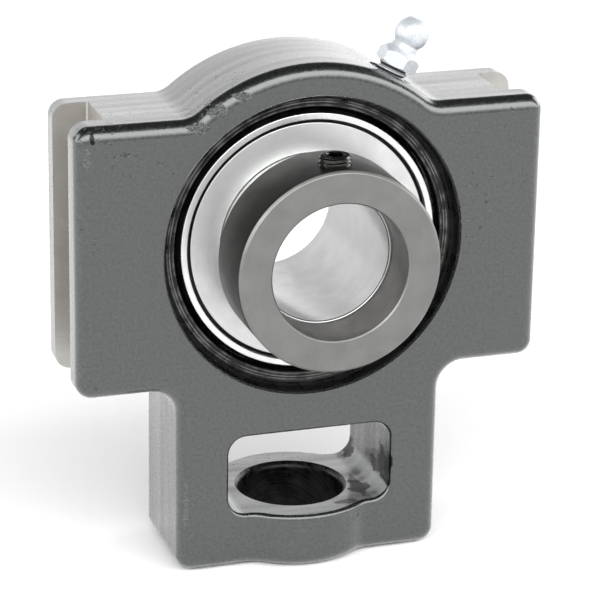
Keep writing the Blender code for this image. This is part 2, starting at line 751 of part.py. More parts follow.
def check_ball_height():
    """The check ball closes the mouth of the fitting's bore from inside."""
    return fitting_levels()[4] - CHECK_BALL_RADIUS - FIT_PLAY


def build_fitting(finish, axis):
    ring, hex_top, neck, centre, tip = fitting_levels()
    place = axis.matrix_world
    head_low = math.asin((neck - centre) / HEAD_BALL_RADIUS)
    head_high = math.asin((tip - centre) / HEAD_BALL_RADIUS)
    taper_radius = NECK_RADIUS + NECK_TO_HEX
    hold = hex_top - NECK_ROOT
    profile = [(0, tip)]
    profile += arc((0, centre), HEAD_BALL_RADIUS, head_high, head_low, TRACK_SEGMENTS)
    profile += [
        (NECK_RADIUS + NECK_FLARE, hold),
        (THREAD_RADIUS, hold - HEX_ROOT),
        (THREAD_RADIUS, ring),
        (FITTING_RING_RADIUS, ring - FITTING_COLLAR_EDGE),
        (FITTING_RING_RADIUS, FIT_PLAY),
        (THREAD_RADIUS, FIT_PLAY),
        (THREAD_RADIUS, -THREAD_LENGTH + THREAD_POINT),
        (THREAD_RADIUS - THREAD_POINT, -THREAD_LENGTH),
        (0, -THREAD_LENGTH),
    ]
    fitting = turned("grease_fitting", profile, place=place, segments=SMALL_SEGMENTS)
    corner = HEX_WIDTH / math.sqrt(3) + FITTING_COLLAR_EDGE
    body = hexagon("fitting_hexagon", HEX_WIDTH, ring - FITTING_COLLAR_EDGE / 2, hex_top, place)
    cone = [
        (0, hex_top + FITTING_COLLAR_EDGE),
        (taper_radius, hex_top),
        (corner, hex_top - HEX_TAPER),
        (corner, ring - CUT_OVERRUN),
        (0, ring - CUT_OVERRUN),
    ]
    combine(body, turned("hexagon_taper", cone, CUTTERS, place, SMALL_SEGMENTS), "INTERSECT")
    combine(fitting, body, "UNION")
    seat = check_ball_height()
    mouth = CHECK_BALL_RADIUS - MOUTH_LIP
    passage = spring_coil_radius - SPRING_SHELF_WIDTH
    below = -THREAD_LENGTH - CUT_OVERRUN
    bore = [
        (0, tip + CUT_OVERRUN),
        (mouth, tip + CUT_OVERRUN),
        (mouth, seat + MOUTH_LENGTH),
        (fitting_bore, seat + MOUTH_SLOPE),
        (fitting_bore, SPRING_SHELF),
        (passage, SPRING_SHELF),
        (passage, below),
        (0, below),
    ]
    combine(fitting, turned("fitting_bore", bore, CUTTERS, place, SMALL_SEGMENTS), "DIFFERENCE")
    fitting.data.materials.append(finish)
    carry(fitting, axis)
    realise(fitting)
    return place @ Matrix.Translation((0, 0, seat))


def build_spring(finish, axis, low, high):
    """A compression spring between the fitting's inner shoulder and the check ball."""
    curve = bpy.data.curves.new("fitting_spring", "CURVE")
    curve.dimensions = "3D"
    curve.bevel_depth = SPRING_WIRE_RADIUS
    curve.bevel_resolution = 1
    curve.use_fill_caps = True
    steps = SPRING_SEGMENTS * SPRING_TURNS
    line = curve.splines.new("POLY")
    line.points.add(steps)
    for i, point in enumerate(line.points):
        turn = 2 * math.pi * SPRING_TURNS * i / steps
        height = low + (high - low) * i / steps
        x = spring_coil_radius * math.cos(turn)
        y = spring_coil_radius * math.sin(turn)
        point.co = (x, y, height, 1.0)
    spring = add_object("fitting_spring", curve, PARTS, axis.matrix_world)
    spring.data.materials.append(finish)
    carry(spring, axis)
    return spring


def empty(name, place):
    item = bpy.data.objects.new(name, None)
    item.matrix_world = place
    item.empty_display_size = bore_radius
    bpy.data.collections[PARTS].objects.link(item)
    return item


def main():
    clear_scene()
    paint = material("grey_casting_paint", (0.16, 0.165, 0.165), 0.45, 0.3)
    ground = material("ground_bearing_steel", (0.62, 0.62, 0.61), 0.22, 1.0)
    oxide = material("black_oxide_steel", (0.22, 0.215, 0.21), 0.4, 1.0)
    black = material("black_set_screw", (0.05, 0.05, 0.05), 0.4, 1.0)
    bright = material("pressed_steel", (0.72, 0.72, 0.71), 0.3, 1.0)
    rubber = material("nitrile_rubber", (0.02, 0.02, 0.02), 0.6, 0.0)
    nylon = material("moulded_nylon", (0.75, 0.7, 0.55), 0.5, 0.0)
    zinc = material("zinc_plate", (0.8, 0.81, 0.8), 0.25, 1.0)

    shaft_axis = empty("shaft_axis", Matrix())
    cam_axis = empty("cam_axis", cam_place())
    fitting_axis = empty("fitting_axis", fitting_place())

    build_housing(paint)
    build_outer_ring(ground, shaft_axis)
    build_inner_ring(ground, shaft_axis)
    build_balls(ground, build_cage(nylon, shaft_axis))
    for side in (("front", -1), ("rear", 1)):
        build_seal(side, bright, rubber, shaft_axis)
    build_set_screw(black, build_collar(oxide, cam_axis))
    check = ball("fitting_check_ball", CHECK_BALL_RADIUS, build_fitting(zinc, fitting_axis), 6)
    check.data.materials.append(ground)
    carry(check, fitting_axis)
    spring_low = SPRING_SHELF + FIT_PLAY + SPRING_WIRE_RADIUS
    spring_high = check_ball_height() - CHECK_BALL_RADIUS - SPRING_WIRE_RADIUS
    build_spring(bright, fitting_axis, spring_low, spring_high)


main()
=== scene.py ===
"""Looks of a take up bearing unit with a 25 mm bore, dressed over its CAD frame.

Metres, +Z up. The origin is the bearing's centre, the shaft runs along Y, and the locking collar is at
-Y. Every turned piece starts as a wire of (radius, position along the axis) corners, each with its own
round.
"""

import math

import bmesh
import bpy
from mathutils import Matrix, Vector


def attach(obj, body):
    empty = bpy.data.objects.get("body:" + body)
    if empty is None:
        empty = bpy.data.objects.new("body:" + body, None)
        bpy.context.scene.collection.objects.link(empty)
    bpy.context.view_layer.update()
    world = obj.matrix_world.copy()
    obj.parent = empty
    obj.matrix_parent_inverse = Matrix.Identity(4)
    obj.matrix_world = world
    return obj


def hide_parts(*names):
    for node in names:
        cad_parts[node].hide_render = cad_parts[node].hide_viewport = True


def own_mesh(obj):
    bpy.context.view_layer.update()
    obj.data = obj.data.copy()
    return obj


MM = 0.001
MERGE = 0.002 * MM

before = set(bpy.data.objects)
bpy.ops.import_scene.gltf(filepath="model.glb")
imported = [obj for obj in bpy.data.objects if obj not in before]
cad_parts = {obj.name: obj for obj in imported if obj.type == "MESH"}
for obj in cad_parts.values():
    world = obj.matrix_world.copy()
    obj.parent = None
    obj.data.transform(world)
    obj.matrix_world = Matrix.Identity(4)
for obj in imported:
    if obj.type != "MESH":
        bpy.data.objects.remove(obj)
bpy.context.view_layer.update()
scene = bpy.context.scene

# Sizes shared with the CAD solids
BODY_HALF = 12.0 * MM
GROOVE_HALF = 6.0 * MM
GROOVE_ROOT = 0.5 * MM
GUIDE_FLOOR = 38.0 * MM
WING_REACH = 44.7 * MM
WING_TOP = 25.5 * MM
WING_BOTTOM = -26.0 * MM
WING_CORNER = 3.0 * MM
HEAD_RADIUS = 34.3 * MM
HEAD_BLEND = 5.0 * MM
TAIL_HALF = 25.7 * MM
TAIL_END = -62.7 * MM
TAIL_BLEND = 5.0 * MM
TAIL_CORNER = 3.0 * MM
EDGE_ROUND = 2.8 * MM
SLOT_HALF = 16.0 * MM
SLOT_TOP = -36.3 * MM
SLOT_FLOOR = -52.0 * MM
SLOT_FILLET = 3.5 * MM
SLOT_RIM = 0.9 * MM
BOSS_RADIUS = 16.0 * MM
BOSS_BLEND = 5.0 * MM
HOLE_RADIUS = 10.0 * MM
HOLE_EDGE = 0.8 * MM
RECESS_EDGE = 0.3 * MM
RECESS_DRAFT = 0.3 * MM
SEAT_LEAD = 0.32 * MM
LOADING_PLAY = 0.6 * MM
GREASE_GROOVE_HALF = 1.1 * MM
GREASE_GROOVE_DEPTH = 0.5 * MM
GREASE_HOLE = 0.8 * MM
GREASE_PASSAGE = 1.25 * MM
RECESS_RADIUS = 28.5 * MM
RECESS_FLOOR = 8.5 * MM
SEAT_RADIUS = 26.3 * MM
SEAT_HALF = 6.9 * MM
SPHERE_RADIUS = 26.0 * MM
RING_HALF = 8.5 * MM
RIM_RADIUS = 23.3 * MM
RING_CHAMFER = 0.35 * MM
SEAL_GROOVE_DEPTH = 0.5 * MM
SEAL_GROOVE_LENGTH = 2.6 * MM
SEAL_EDGE_LENGTH = 1.3 * MM
SHROUD_THICKNESS = 0.55 * MM
INNER_SHOULDER = 16.87 * MM
BORE_CHAMFER = 0.8 * MM
BORE_RADIUS = 12.5 * MM
RING_REAR = 17.5 * MM
RING_FRONT = 17.4 * MM
CAM_RADIUS = 15.6 * MM
CAM_OFFSET = 0.8 * MM
CAM_LENGTH = 4.2 * MM
COLLAR_RADIUS = 19.05 * MM
COLLAR_BORE = 12.85 * MM
COLLAR_FRONT = 27.0 * MM
COLLAR_REAR = 13.5 * MM
PLAY = 0.3 * MM
SCREW_PLANE = 22.2 * MM
SCREW_RADIUS = 3.0 * MM
SCREW_PITCH = 0.75 * MM
SCREW_LENGTH = 6.4 * MM
SCREW_ABOVE_COLLAR = 1.7 * MM
SCREW_POINT = 0.6 * MM
SOCKET_WIDTH = 3.0 * MM
SOCKET_DEPTH = 2.0 * MM
FITTING_ANGLE = math.radians(29.0)
GREASE_PLANE = 4.6 * MM
FITTING_SEAT = 33.95 * MM
FITTING_THREAD = 2.9 * MM
FITTING_PITCH = 1.0 * MM
THREAD_LENGTH = 4.5 * MM
SHANK_HEIGHT = 1.8 * MM
HEX_WIDTH = 7.0 * MM
HEX_HEIGHT = 3.4 * MM
HEX_TAPER = 1.5 * MM
NECK_RADIUS = 2.35 * MM
NECK_HEIGHT = 1.1 * MM
NECK_FLARE = 0.3 * MM
NIPPLE_RADIUS = 3.2 * MM
TIP_RADIUS = 1.55 * MM
CHECK_BALL_RADIUS = 1.1 * MM
VALVE_FLOOR = 0.8 * MM
VALVE_WAY = 0.83 * MM
SPRING_WIRE = 0.17 * MM
SPRING_TURNS = 5
PITCH_RADIUS = 19.25 * MM
TRACK_RADIUS = 4.17 * MM
OUTER_SHOULDER = 21.55 * MM

# Heights along the grease fitting, from its spot face on the casting
HEX_TOP = SHANK_HEIGHT + HEX_HEIGHT
NIPPLE_CENTRE = HEX_TOP + NECK_HEIGHT + math.sqrt(NIPPLE_RADIUS**2 - NECK_RADIUS**2)
NIPPLE_TIP = NIPPLE_CENTRE + math.sqrt(NIPPLE_RADIUS**2 - TIP_RADIUS**2)
CHECK_BALL_PLACE = NIPPLE_TIP - CHECK_BALL_RADIUS - PLAY

UPRIGHT = Matrix.Rotation(math.pi / 2, 4, "X")
CAM_PLACE = Matrix.Translation((0, 0, -CAM_OFFSET))

FINE_STEPS = 192
SMALL_STEPS = 64

# Strength of the studio's light from below, the front, above, behind and the two ends
LOW_LIGHT = 0.6
HIGH_LIGHT = 4.3
CEILING_LIGHT = 0.06
BACK_LIGHT = 1.5
END_LIGHT = 3.5

# The photograph's camera: angles in degrees, then its distance from the point that it looks at
VIEW_AZIMUTH = -18.464
VIEW_ELEVATION = 19.147
VIEW_ROLL = 0.948
VIEW_DISTANCE = 517.1 * MM
VIEW_TARGET = Vector((0.439 * MM, 0, -7.333 * MM))
LENS = 165.07
LENS_SHIFT = (0.0065, -0.06)

# Centres and half sizes, in mm, of the casting's near black patches of painted shade and dark reflection,
# coarse skin and groups of pits
PAINTED_SHADE_PATCHES = [
    ((-41.7, -11.6, 23.9), (0.8, 1.2, 1.6)),
    ((-44.6, -10.6, 24.2), (0.7, 1.5, 1.5)),
    ((16.1, -8.6, -46.6), (0.55, 4.8, 3.8)),
    ((16.1, -3.5, -48.4), (0.55, 4.5, 1.6)),
    ((11.9, -6, -52), (1.8, 4.2, 1.5)),
    ((7.5, -11.4, -52), (2.4, 1.1, 1.0)),
    ((14.8, 10, -50.2), (1.6, 3.0, 2.0)),
]
COARSE = [
    ((-42.6, -11.6, 20.6), (0.7, 0.9, 3.0)),
    ((-22.2, -11.3, 24.2), (2.0, 1.2, 1.8)),
    ((-18.4, -11.3, 27), (2.2, 1.2, 1.6)),
    ((-14.4, -11.3, 29.4), (2.0, 1.0, 1.2)),
    ((-24.4, -11.8, -50), (0.6, 0.9, 5.0)),
    ((-4, -12.4, -53), (4.0, 1.2, 0.8)),
    ((8.5, -13, -54.2), (1.4, 1.4, 1.4)),
]
PITS = [
    ((-35, -12, 15.5), (3.4, 2.0, 1.5)),
    ((-28, -12, 17), (3.0, 2.0, 1.5)),
]


def linear(code):
    """Linear colour of an sRGB hex code."""
    parts = [int(code[i : i + 2], 16) / 255 for i in (1, 3, 5)]
    parts = [c / 12.92 if c <= 0.04045 else ((c + 0.055) / 1.055) ** 2.4 for c in parts]
    return (*parts, 1.0)


def add_node(tree, kind, inputs=None, **settings):
    """Add a node, set its properties, fill its inputs with values or outputs, and return its outputs."""
    item = tree.nodes.new("ShaderNode" + kind)
    for name, value in settings.items():
        setattr(item, name, value)
    for key, value in (inputs or {}).items():
        if isinstance(value, bpy.types.NodeSocket):
            tree.links.new(value, item.inputs[key])
        else:
            item.inputs[key].default_value = value
    return item.outputs


def new_material(name):
    finish = bpy.data.materials.new(name)
    finish.use_nodes = True
    tree = finish.node_tree
    return finish, tree, tree.nodes["Principled BSDF"]


def fill(shader, values):
    """Set the shader's own sockets, or link an output to them."""
    for name, value in values.items():
        if isinstance(value, bpy.types.NodeSocket):
            shader.id_data.links.new(value, shader.inputs[name])
        else:
            shader.inputs[name].default_value = value


def soften(shape, geometry, reach, steps, affect="EDGES"):
    bmesh.ops.bevel(
        shape,
        geom=geometry,
        offset=reach,
        offset_type="OFFSET",
        segments=steps,
        profile=0.5,
        affect=affect,
        material=-1,
    )


def wire(path, closed=True, rounds=6):
    """A wire in the XY plane of (x, y, round) corners and (centre x, centre y, turn, steps) arcs."""
    shape = bmesh.new()
    points = []
    sharp = []
    for step in path:
        if len(step) == 4:
            x, y, turn, steps = step
            drawn = bmesh.ops.spin(
                shape, geom=[points[-1]], cent=(x, y, 0), axis=(0, 0, 1), angle=turn, steps=steps
            )
            points.append(drawn["geom_last"][0])
        else:
            points.append(shape.verts.new((step[0], step[1], 0)))
            if len(points) > 1:
                shape.edges.new(points[-2:])
            if step[2] > 0:
                sharp.append((points[-1], step[2]))
    if closed:
        shape.edges.new((points[-1], points[0]))
    for point, reach in sharp:
        soften(shape, [point], reach, rounds, "VERTICES")
    return shape


def close_up(shape):
    bmesh.ops.remove_doubles(shape, verts=shape.verts, dist=MERGE)
    bmesh.ops.recalc_face_normals(shape, faces=shape.faces)
    return shape


def turned(path, closed=True, steps=FINE_STEPS, place=Matrix()):
    """A path of (radius, position along the axis) spun round the Y axis, then moved to its place."""
    shape = wire(path, closed)
    bmesh.ops.spin(
        shape,
        geom=shape.verts[:] + shape.edges[:],
        cent=(0, 0, 0),
        axis=(0, 1, 0),
        angle=2 * math.pi,
        steps=steps,
        use_merge=True,
    )
    shape.transform(place)
    return close_up(shape)


def slab(shape, depth, mirrored=""):
    """Fill a wire, mirrored where it is a half or a quarter, and extrude it along Z."""
    for axis in mirrored:
        everything = shape.verts[:] + shape.edges[:]
        bmesh.ops.mirror(shape, geom=everything, matrix=Matrix(), merge_dist=MERGE, axis=axis)
        bmesh.ops.remove_doubles(shape, verts=shape.verts, dist=MERGE)
    base = bmesh.ops.edgeloop_fill(shape, edges=shape.edges[:])["faces"]
    far = bmesh.ops.extrude_face_region(shape, geom=base, use_keep_orig=True)["geom"]
    moved = [part for part in far if isinstance(part, bmesh.types.BMVert)]
    bmesh.ops.translate(shape, vec=(0, 0, depth), verts=moved)
    return close_up(shape)


def flat_edges(shape, low, high):
    """Edges that lie flat between two heights."""
    level = [edge for edge in shape.edges if abs(edge.verts[0].co.z - edge.verts[1].co.z) < MERGE]
    return [edge for edge in level if low < edge.verts[0].co.z < high]


def groove_block(low, high):
    """The mill that cuts a guide groove, with rounded corners at the floor."""
    shape = bmesh.new()
    size = Vector(high) - Vector(low)
    middle = (Vector(low) + Vector(high)) / 2
    place = Matrix.Translation(middle) @ Matrix.Diagonal((*size, 1))
    bmesh.ops.create_cube(shape, size=1.0, matrix=place)
    roots = [e for e in shape.edges if max(abs(v.co.x) for v in e.verts) < GUIDE_FLOOR + MERGE]
    soften(shape, [e for e in roots if abs(e.verts[0].co.z - e.verts[1].co.z) > MM], GROOVE_ROOT, 4)
    return close_up(shape)


def to_object(name, shape):
    mesh = bpy.data.meshes.new(name)
    shape.to_mesh(mesh)
    shape.free()
    item = bpy.data.objects.new(name, mesh)
    scene.collection.objects.link(item)
    return item


def carve(item, *steps):
    """Cut or join other shapes, then keep the result as the object's own mesh."""
    tools = []
    for operation, shape in steps:
        tool = to_object("tool", shape)
        cutter = item.modifiers.new("Carve", "BOOLEAN")
        cutter.operation = operation
        cutter.solver = "EXACT"
        cutter.object = tool
        tools.append(tool)
    graph = bpy.context.evaluated_depsgraph_get()
    mesh = bpy.data.meshes.new_from_object(item.evaluated_get(graph))
    item.modifiers.clear()
    item.data = mesh
    for tool in tools:
        bpy.data.objects.remove(tool)
    return item


def dress(item, body, finishes, replaced, sharp=33):
    """Shade a finished piece, give it its finishes and fasten it to its body."""
    item.data.shade_smooth()
    item.data.set_sharp_from_angle(angle=math.radians(sharp))
    item.data.materials.clear()
    for finish in finishes:
        item.data.materials.append(finish)
    weighted = item.modifiers.new("Flat faces stay flat", "WEIGHTED_NORMAL")
    weighted.keep_sharp = True
    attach(item, body)
    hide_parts(replaced)
    return item


def casting_block():
    """Head, wings and tail as one outline, rounded along both its rims."""
    height = WING_TOP + HEAD_BLEND
    reach = math.sqrt((HEAD_RADIUS + HEAD_BLEND) ** 2 - height**2)
    turn = math.atan2(reach, height)
    path = [
        (0, HEAD_RADIUS, 0),
        (0, 0, -turn, 40),
        (reach, height, turn, 10),
        (WING_REACH, WING_TOP, WING_CORNER),
        (WING_REACH, WING_BOTTOM, WING_CORNER),
        (TAIL_HALF, WING_BOTTOM, TAIL_BLEND),
        (TAIL_HALF, TAIL_END, TAIL_CORNER),
        (0, TAIL_END, 0),
    ]
    shape = slab(wire(path, closed=False, rounds=10), 2 * BODY_HALF, "X")
    rims = flat_edges(shape, -MM, BODY_HALF) + flat_edges(shape, BODY_HALF, 1)
    soften(shape, rims, EDGE_ROUND, 8)
    shape.transform(Matrix.Translation((0, BODY_HALF, 0)) @ UPRIGHT)
    return close_up(shape)


def slot_block():
    """The window's opening, through both faces."""
    path = [
        (SLOT_HALF, SLOT_TOP, SLOT_FILLET),
        (SLOT_HALF, SLOT_FLOOR, SLOT_FILLET),
        (-SLOT_HALF, SLOT_FLOOR, SLOT_FILLET),
        (-SLOT_HALF, SLOT_TOP, SLOT_FILLET),
    ]
    shape = slab(wire(path, rounds=8), 2 * (BODY_HALF + MM))
    shape.transform(Matrix.Translation((0, BODY_HALF + MM, 0)) @ UPRIGHT)
    return close_up(shape)


def round_slot_rims(item):
    """Round both mouths of the window."""
    shape = bmesh.new()
    shape.from_mesh(item.data)
    rims = []
    for edge in shape.edges:
        first, second = (point.co for point in edge.verts)
        middle = (first + second) / 2
        on_face = abs(middle.y) > BODY_HALF - MERGE
        across = abs(middle.x) < SLOT_HALF + MERGE
        if on_face and across and SLOT_FLOOR - MERGE < middle.z < SLOT_TOP + MERGE:
            rims.append(edge)
    soften(shape, rims, SLOT_RIM, 4)
    close_up(shape)
    shape.to_mesh(item.data)
    shape.free()


def boss_block():
    """The screw's boss, blended into the casting's two faces, from the tail's end to the window."""
    depth = BODY_HALF + BOSS_BLEND
    reach = math.sqrt((BOSS_RADIUS + BOSS_BLEND) ** 2 - depth**2)
    turn = math.atan2(reach, depth)
    path = [
        (0, BOSS_RADIUS, 0),
        (0, 0, -turn, 20),
        (reach, depth, turn, 8),
        (reach, 0, 0),
    ]
    shape = slab(wire(path, closed=False), SLOT_FLOOR - TAIL_END, "XY")
    soften(shape, flat_edges(shape, -MM, MM), EDGE_ROUND, 8)
    soften(shape, flat_edges(shape, SLOT_FLOOR - TAIL_END - MERGE, 1), SLOT_RIM, 4)
    shape.transform(Matrix.Translation((0, 0, TAIL_END)))
    return close_up(shape)


def bore_block():
    """Recess, step, lead and spherical seat, the same from both faces."""
    beyond = BODY_HALF + MM
    lead = math.sqrt(SEAT_RADIUS**2 - SEAT_HALF**2)
    half = [
        (0, beyond, 0),
        (RECESS_RADIUS + RECESS_EDGE, beyond, 0),
        (RECESS_RADIUS + RECESS_EDGE, BODY_HALF, 0),
        (RECESS_RADIUS, BODY_HALF - RECESS_EDGE, 0.15 * MM),
        (RECESS_RADIUS - RECESS_DRAFT, RECESS_FLOOR, 1.3 * MM),
        (lead + SEAT_LEAD, RECESS_FLOOR, 0.25 * MM),
        (lead, SEAT_HALF, 0),
    ]
    other = [(radius, -along, round_off) for radius, along, round_off in reversed(half[:-1])]
    seat = (0, 0, -2 * math.asin(SEAT_HALF / SEAT_RADIUS), 14)
    return turned(half + [seat] + other, closed=False)


def hole_block():
    """The take up screw's hole, softened at both ends."""
    wide = HOLE_RADIUS + HOLE_EDGE
    above = SLOT_FLOOR + MM
    below = TAIL_END - MM
    path = [
        (0, above, 0),
        (wide, above, 0),
        (wide, SLOT_FLOOR, 0),
        (HOLE_RADIUS, SLOT_FLOOR - HOLE_EDGE, 0.7 * HOLE_EDGE),
        (HOLE_RADIUS, TAIL_END + HOLE_EDGE, 0.7 * HOLE_EDGE),
        (wide, TAIL_END, 0),
        (wide, below, 0),
        (0, below, 0),
    ]
    return turned(path, closed=False, steps=96, place=UPRIGHT)


def loading_block(side):
    """One of the two notches at the seat's rear, which let the outer ring in edgeways."""
    radius = SPHERE_RADIUS + LOADING_PLAY
    half = RING_HALF + LOADING_PLAY
    turn = math.asin(half / radius)
    path = [(0, -half, 0), (radius * math.cos(turn), -half, 0), (0, 0, 2 * turn, 16), (0, half, 0)]
    shape = slab(wire(path), BODY_HALF + MM)
    outward = Matrix.Diagonal((side, 1, 1, 1)) @ Matrix.Translation((0, BODY_HALF + MM, 0))
    shape.transform(outward @ UPRIGHT)
    return close_up(shape)


def fitting_place():
    """Local Y is the grease fitting's axis, and its origin is the spot face on the casting."""
    lean = Matrix.Translation((0, -GREASE_PLANE, 0)) @ Matrix.Rotation(FITTING_ANGLE, 4, "Y")
    return lean @ Matrix.Translation((0, 0, FITTING_SEAT)) @ UPRIGHT


def grease_way_block():
    """Spot face, threaded hole and passage under the grease fitting."""
    spot = HEX_WIDTH / math.sqrt(3) + PLAY
    hole = FITTING_THREAD + PLAY
    depth = THREAD_LENGTH + 0.8 * MM
    bottom = SPHERE_RADIUS - PLAY - FITTING_SEAT - MM
    path = [
        (0, 5 * MM, 0),
        (spot, 5 * MM, 0),
        (spot, 0, 0),
        (hole, 0, 0),
        (hole, -depth, 0),
        (GREASE_PASSAGE, GREASE_PASSAGE - hole - depth, 0),
        (GREASE_PASSAGE, bottom, 0),
        (0, bottom, 0),
    ]
    return turned(path, closed=False, steps=SMALL_STEPS, place=fitting_place())


def build_casting(finishes):
    item = carve(to_object("casting", casting_block()), ("DIFFERENCE", slot_block()))
    round_slot_rims(item)
    beyond = WING_REACH + MM
    low = WING_BOTTOM - MM
    high = WING_TOP + MM
    right_groove = groove_block((GUIDE_FLOOR, -GROOVE_HALF, low), (beyond, GROOVE_HALF, high))
    left_groove = groove_block((-beyond, -GROOVE_HALF, low), (-GUIDE_FLOOR, GROOVE_HALF, high))
    carve(
        item,
        ("UNION", boss_block()),
        ("DIFFERENCE", right_groove),
        ("DIFFERENCE", left_groove),
        ("DIFFERENCE", bore_block()),
        ("DIFFERENCE", loading_block(1)),
        ("DIFFERENCE", loading_block(-1)),
        ("DIFFERENCE", hole_block()),
        ("DIFFERENCE", grease_way_block()),
    )
    dress(item, "housing", finishes, "housing")
    # The milled grooves; the recess's wall, the seat and the screw's hole in the near black finish, which
    # paints their shade; and the recess's flat step in its lighter copy
    hair = 0.05 * MM
    for face in item.data.polygons:
        x, y, z = face.center
        along, up = abs(face.normal.y), abs(face.normal.z)
        if abs(x) > GUIDE_FLOOR - hair and abs(y) < GROOVE_HALF + hair and up < 0.5:
            face.material_index = 1
        elif math.hypot(x, z) < RECESS_RADIUS + hair and abs(y) < BODY_HALF - RECESS_EDGE:
            face.material_index = 3 if along > 0.95 else 2
        elif math.hypot(x, y) < HOLE_RADIUS + HOLE_EDGE and z < SLOT_FLOOR and up < 0.85:
            face.material_index = 2
    return item


def build_outer_ring(steel, shaded_black):
    """Outer ring with bright faces, and a spherical outside in the recess's near black finish, which paints
    the shade it lies in.
    """
    edge = math.asin((RING_HALF - RING_CHAMFER) / SPHERE_RADIUS)
    rims = (GREASE_GROOVE_HALF - GREASE_PLANE, -GREASE_GROOVE_HALF - GREASE_PLANE)
    groove = [math.asin(place / SPHERE_RADIUS) for place in rims]
    floor = SPHERE_RADIUS - GREASE_GROOVE_DEPTH
    face = math.sqrt(SPHERE_RADIUS**2 - RING_HALF**2) - RING_CHAMFER / 2
    seal_groove = RIM_RADIUS + SEAL_GROOVE_DEPTH
    step = RING_HALF - SEAL_GROOVE_LENGTH
    track = math.acos((OUTER_SHOULDER - PITCH_RADIUS) / TRACK_RADIUS)
    side = [
        (face, RING_HALF, 0.1 * MM),
        (RIM_RADIUS, RING_HALF, 0.12 * MM),
        (RIM_RADIUS, RING_HALF - SEAL_EDGE_LENGTH, 0),
        (seal_groove, RING_HALF - SEAL_EDGE_LENGTH - 0.2 * MM, 0),
        (seal_groove, step + 0.1 * MM, 0),
        (OUTER_SHOULDER, step, 0.1 * MM),
    ]
    path = [(SPHERE_RADIUS * math.cos(edge), SPHERE_RADIUS * math.sin(edge), 0)]
    path += [(0, 0, groove[0] - edge, 20)]
    path += [(floor * math.cos(a), floor * math.sin(a), 0) for a in groove]
    path += [(SPHERE_RADIUS * math.cos(groove[1]), SPHERE_RADIUS * math.sin(groove[1]), 0)]
    path += [(0, 0, -edge - groove[1], 8)]
    path += [(radius, -along, round_off) for radius, along, round_off in side]
    path += [(PITCH_RADIUS + TRACK_RADIUS * math.cos(track), -TRACK_RADIUS * math.sin(track), 0)]
    path += [(PITCH_RADIUS, 0, 2 * track, 16)]
    path += side[::-1]
    drill = [
        (0, SPHERE_RADIUS, 0),
        (GREASE_HOLE, SPHERE_RADIUS, 0),
        (GREASE_HOLE, PITCH_RADIUS, 0),
        (0, PITCH_RADIUS, 0),
    ]
    way = Matrix.Translation((0, -GREASE_PLANE, 0)) @ Matrix.Rotation(FITTING_ANGLE, 4, "Y")
    hole = turned(drill, closed=False, steps=24, place=way @ UPRIGHT)
    item = carve(to_object("outer_race", turned(path)), ("DIFFERENCE", hole))
    dress(item, "insert", [steel, shaded_black], "outer_ring")
    # Painted shade: the spherical outside, down in the recess, gets the near black finish
    for flat in item.data.polygons:
        if math.hypot(flat.center.x, flat.center.z) > face + 0.1 * MM:
            flat.material_index = 1
    return item


def build_inner_ring(steel, oiled):
    """Inner ring with its raceway, its oiled bore and, at the front, the eccentric that the collar grips."""
    track = math.acos((PITCH_RADIUS - INNER_SHOULDER) / TRACK_RADIUS)
    track_edge = TRACK_RADIUS * math.sin(track)
    path = [
        (BORE_RADIUS + BORE_CHAMFER, RING_REAR, 0.15 * MM),
        (INNER_SHOULDER, RING_REAR, 0.45 * MM),
        (INNER_SHOULDER, track_edge, 0),
        (PITCH_RADIUS, 0, 2 * track, 16),
        (INNER_SHOULDER, -RING_FRONT, 0.12 * MM),
        (BORE_RADIUS, -RING_FRONT, 0.4 * MM),
        (BORE_RADIUS, RING_REAR - 1.5 * BORE_CHAMFER, 0.2 * MM),
    ]
    step = CAM_LENGTH - RING_FRONT
    wide = INNER_SHOULDER + 2 * CAM_OFFSET
    relief = [
        (wide, step, 0),
        (wide, -RING_FRONT - MM, 0),
        (CAM_RADIUS, -RING_FRONT - MM, 0),
        (CAM_RADIUS, step, 0.15 * MM),
    ]
    item = to_object("inner_race", turned(path))
    carve(item, ("DIFFERENCE", turned(relief, place=CAM_PLACE)))
    dress(item, "inner", [steel, oiled], "inner_ring")
    for face in item.data.polygons:
        if math.hypot(face.center.x, face.center.z) < BORE_RADIUS + 0.6 * BORE_CHAMFER:
            face.material_index = 1
    return item


def build_shroud(name, node, side, steel, rubber):
    """The seal's pressed cover, hooked into the outer ring's groove on a black bead of rubber, which also
    paints the shade in the gap.
    """
    outer = RIM_RADIUS - PLAY - 0.4 * MM
    hook = RIM_RADIUS + SEAL_GROOVE_DEPTH - PLAY
    hook_face = RING_HALF - SEAL_EDGE_LENGTH - PLAY
    low = RING_HALF - SEAL_GROOVE_LENGTH + 0.4 * MM
    face = RING_HALF - 0.3 * MM
    back = face - SHROUD_THICKNESS
    skirt = outer - SHROUD_THICKNESS
    inner = INNER_SHOULDER + 0.12 * MM
    path = [
        (outer, face, 0.15 * MM),
        (outer, hook_face, 0),
        (hook, hook_face - PLAY, 0),
        (hook, low, 0),
        (skirt, low, 0),
        (skirt, back, 0.1 * MM),
        (inner, back, 0.08 * MM),
        (inner, face, 0.25 * MM),
    ]
    item = to_object(name, turned([(radius, side * along, off) for radius, along, off in path]))
    dress(item, "insert", [steel, rubber], node)
    # Painted shade: the hook and the outer edge down in the gap get the black rubber finish
    for flat in item.data.polygons:
        radius = math.hypot(flat.center.x, flat.center.z)
        if abs(flat.center.y) < face - 0.2 * MM and radius > outer - 0.05 * MM:
            flat.material_index = 1
    return item


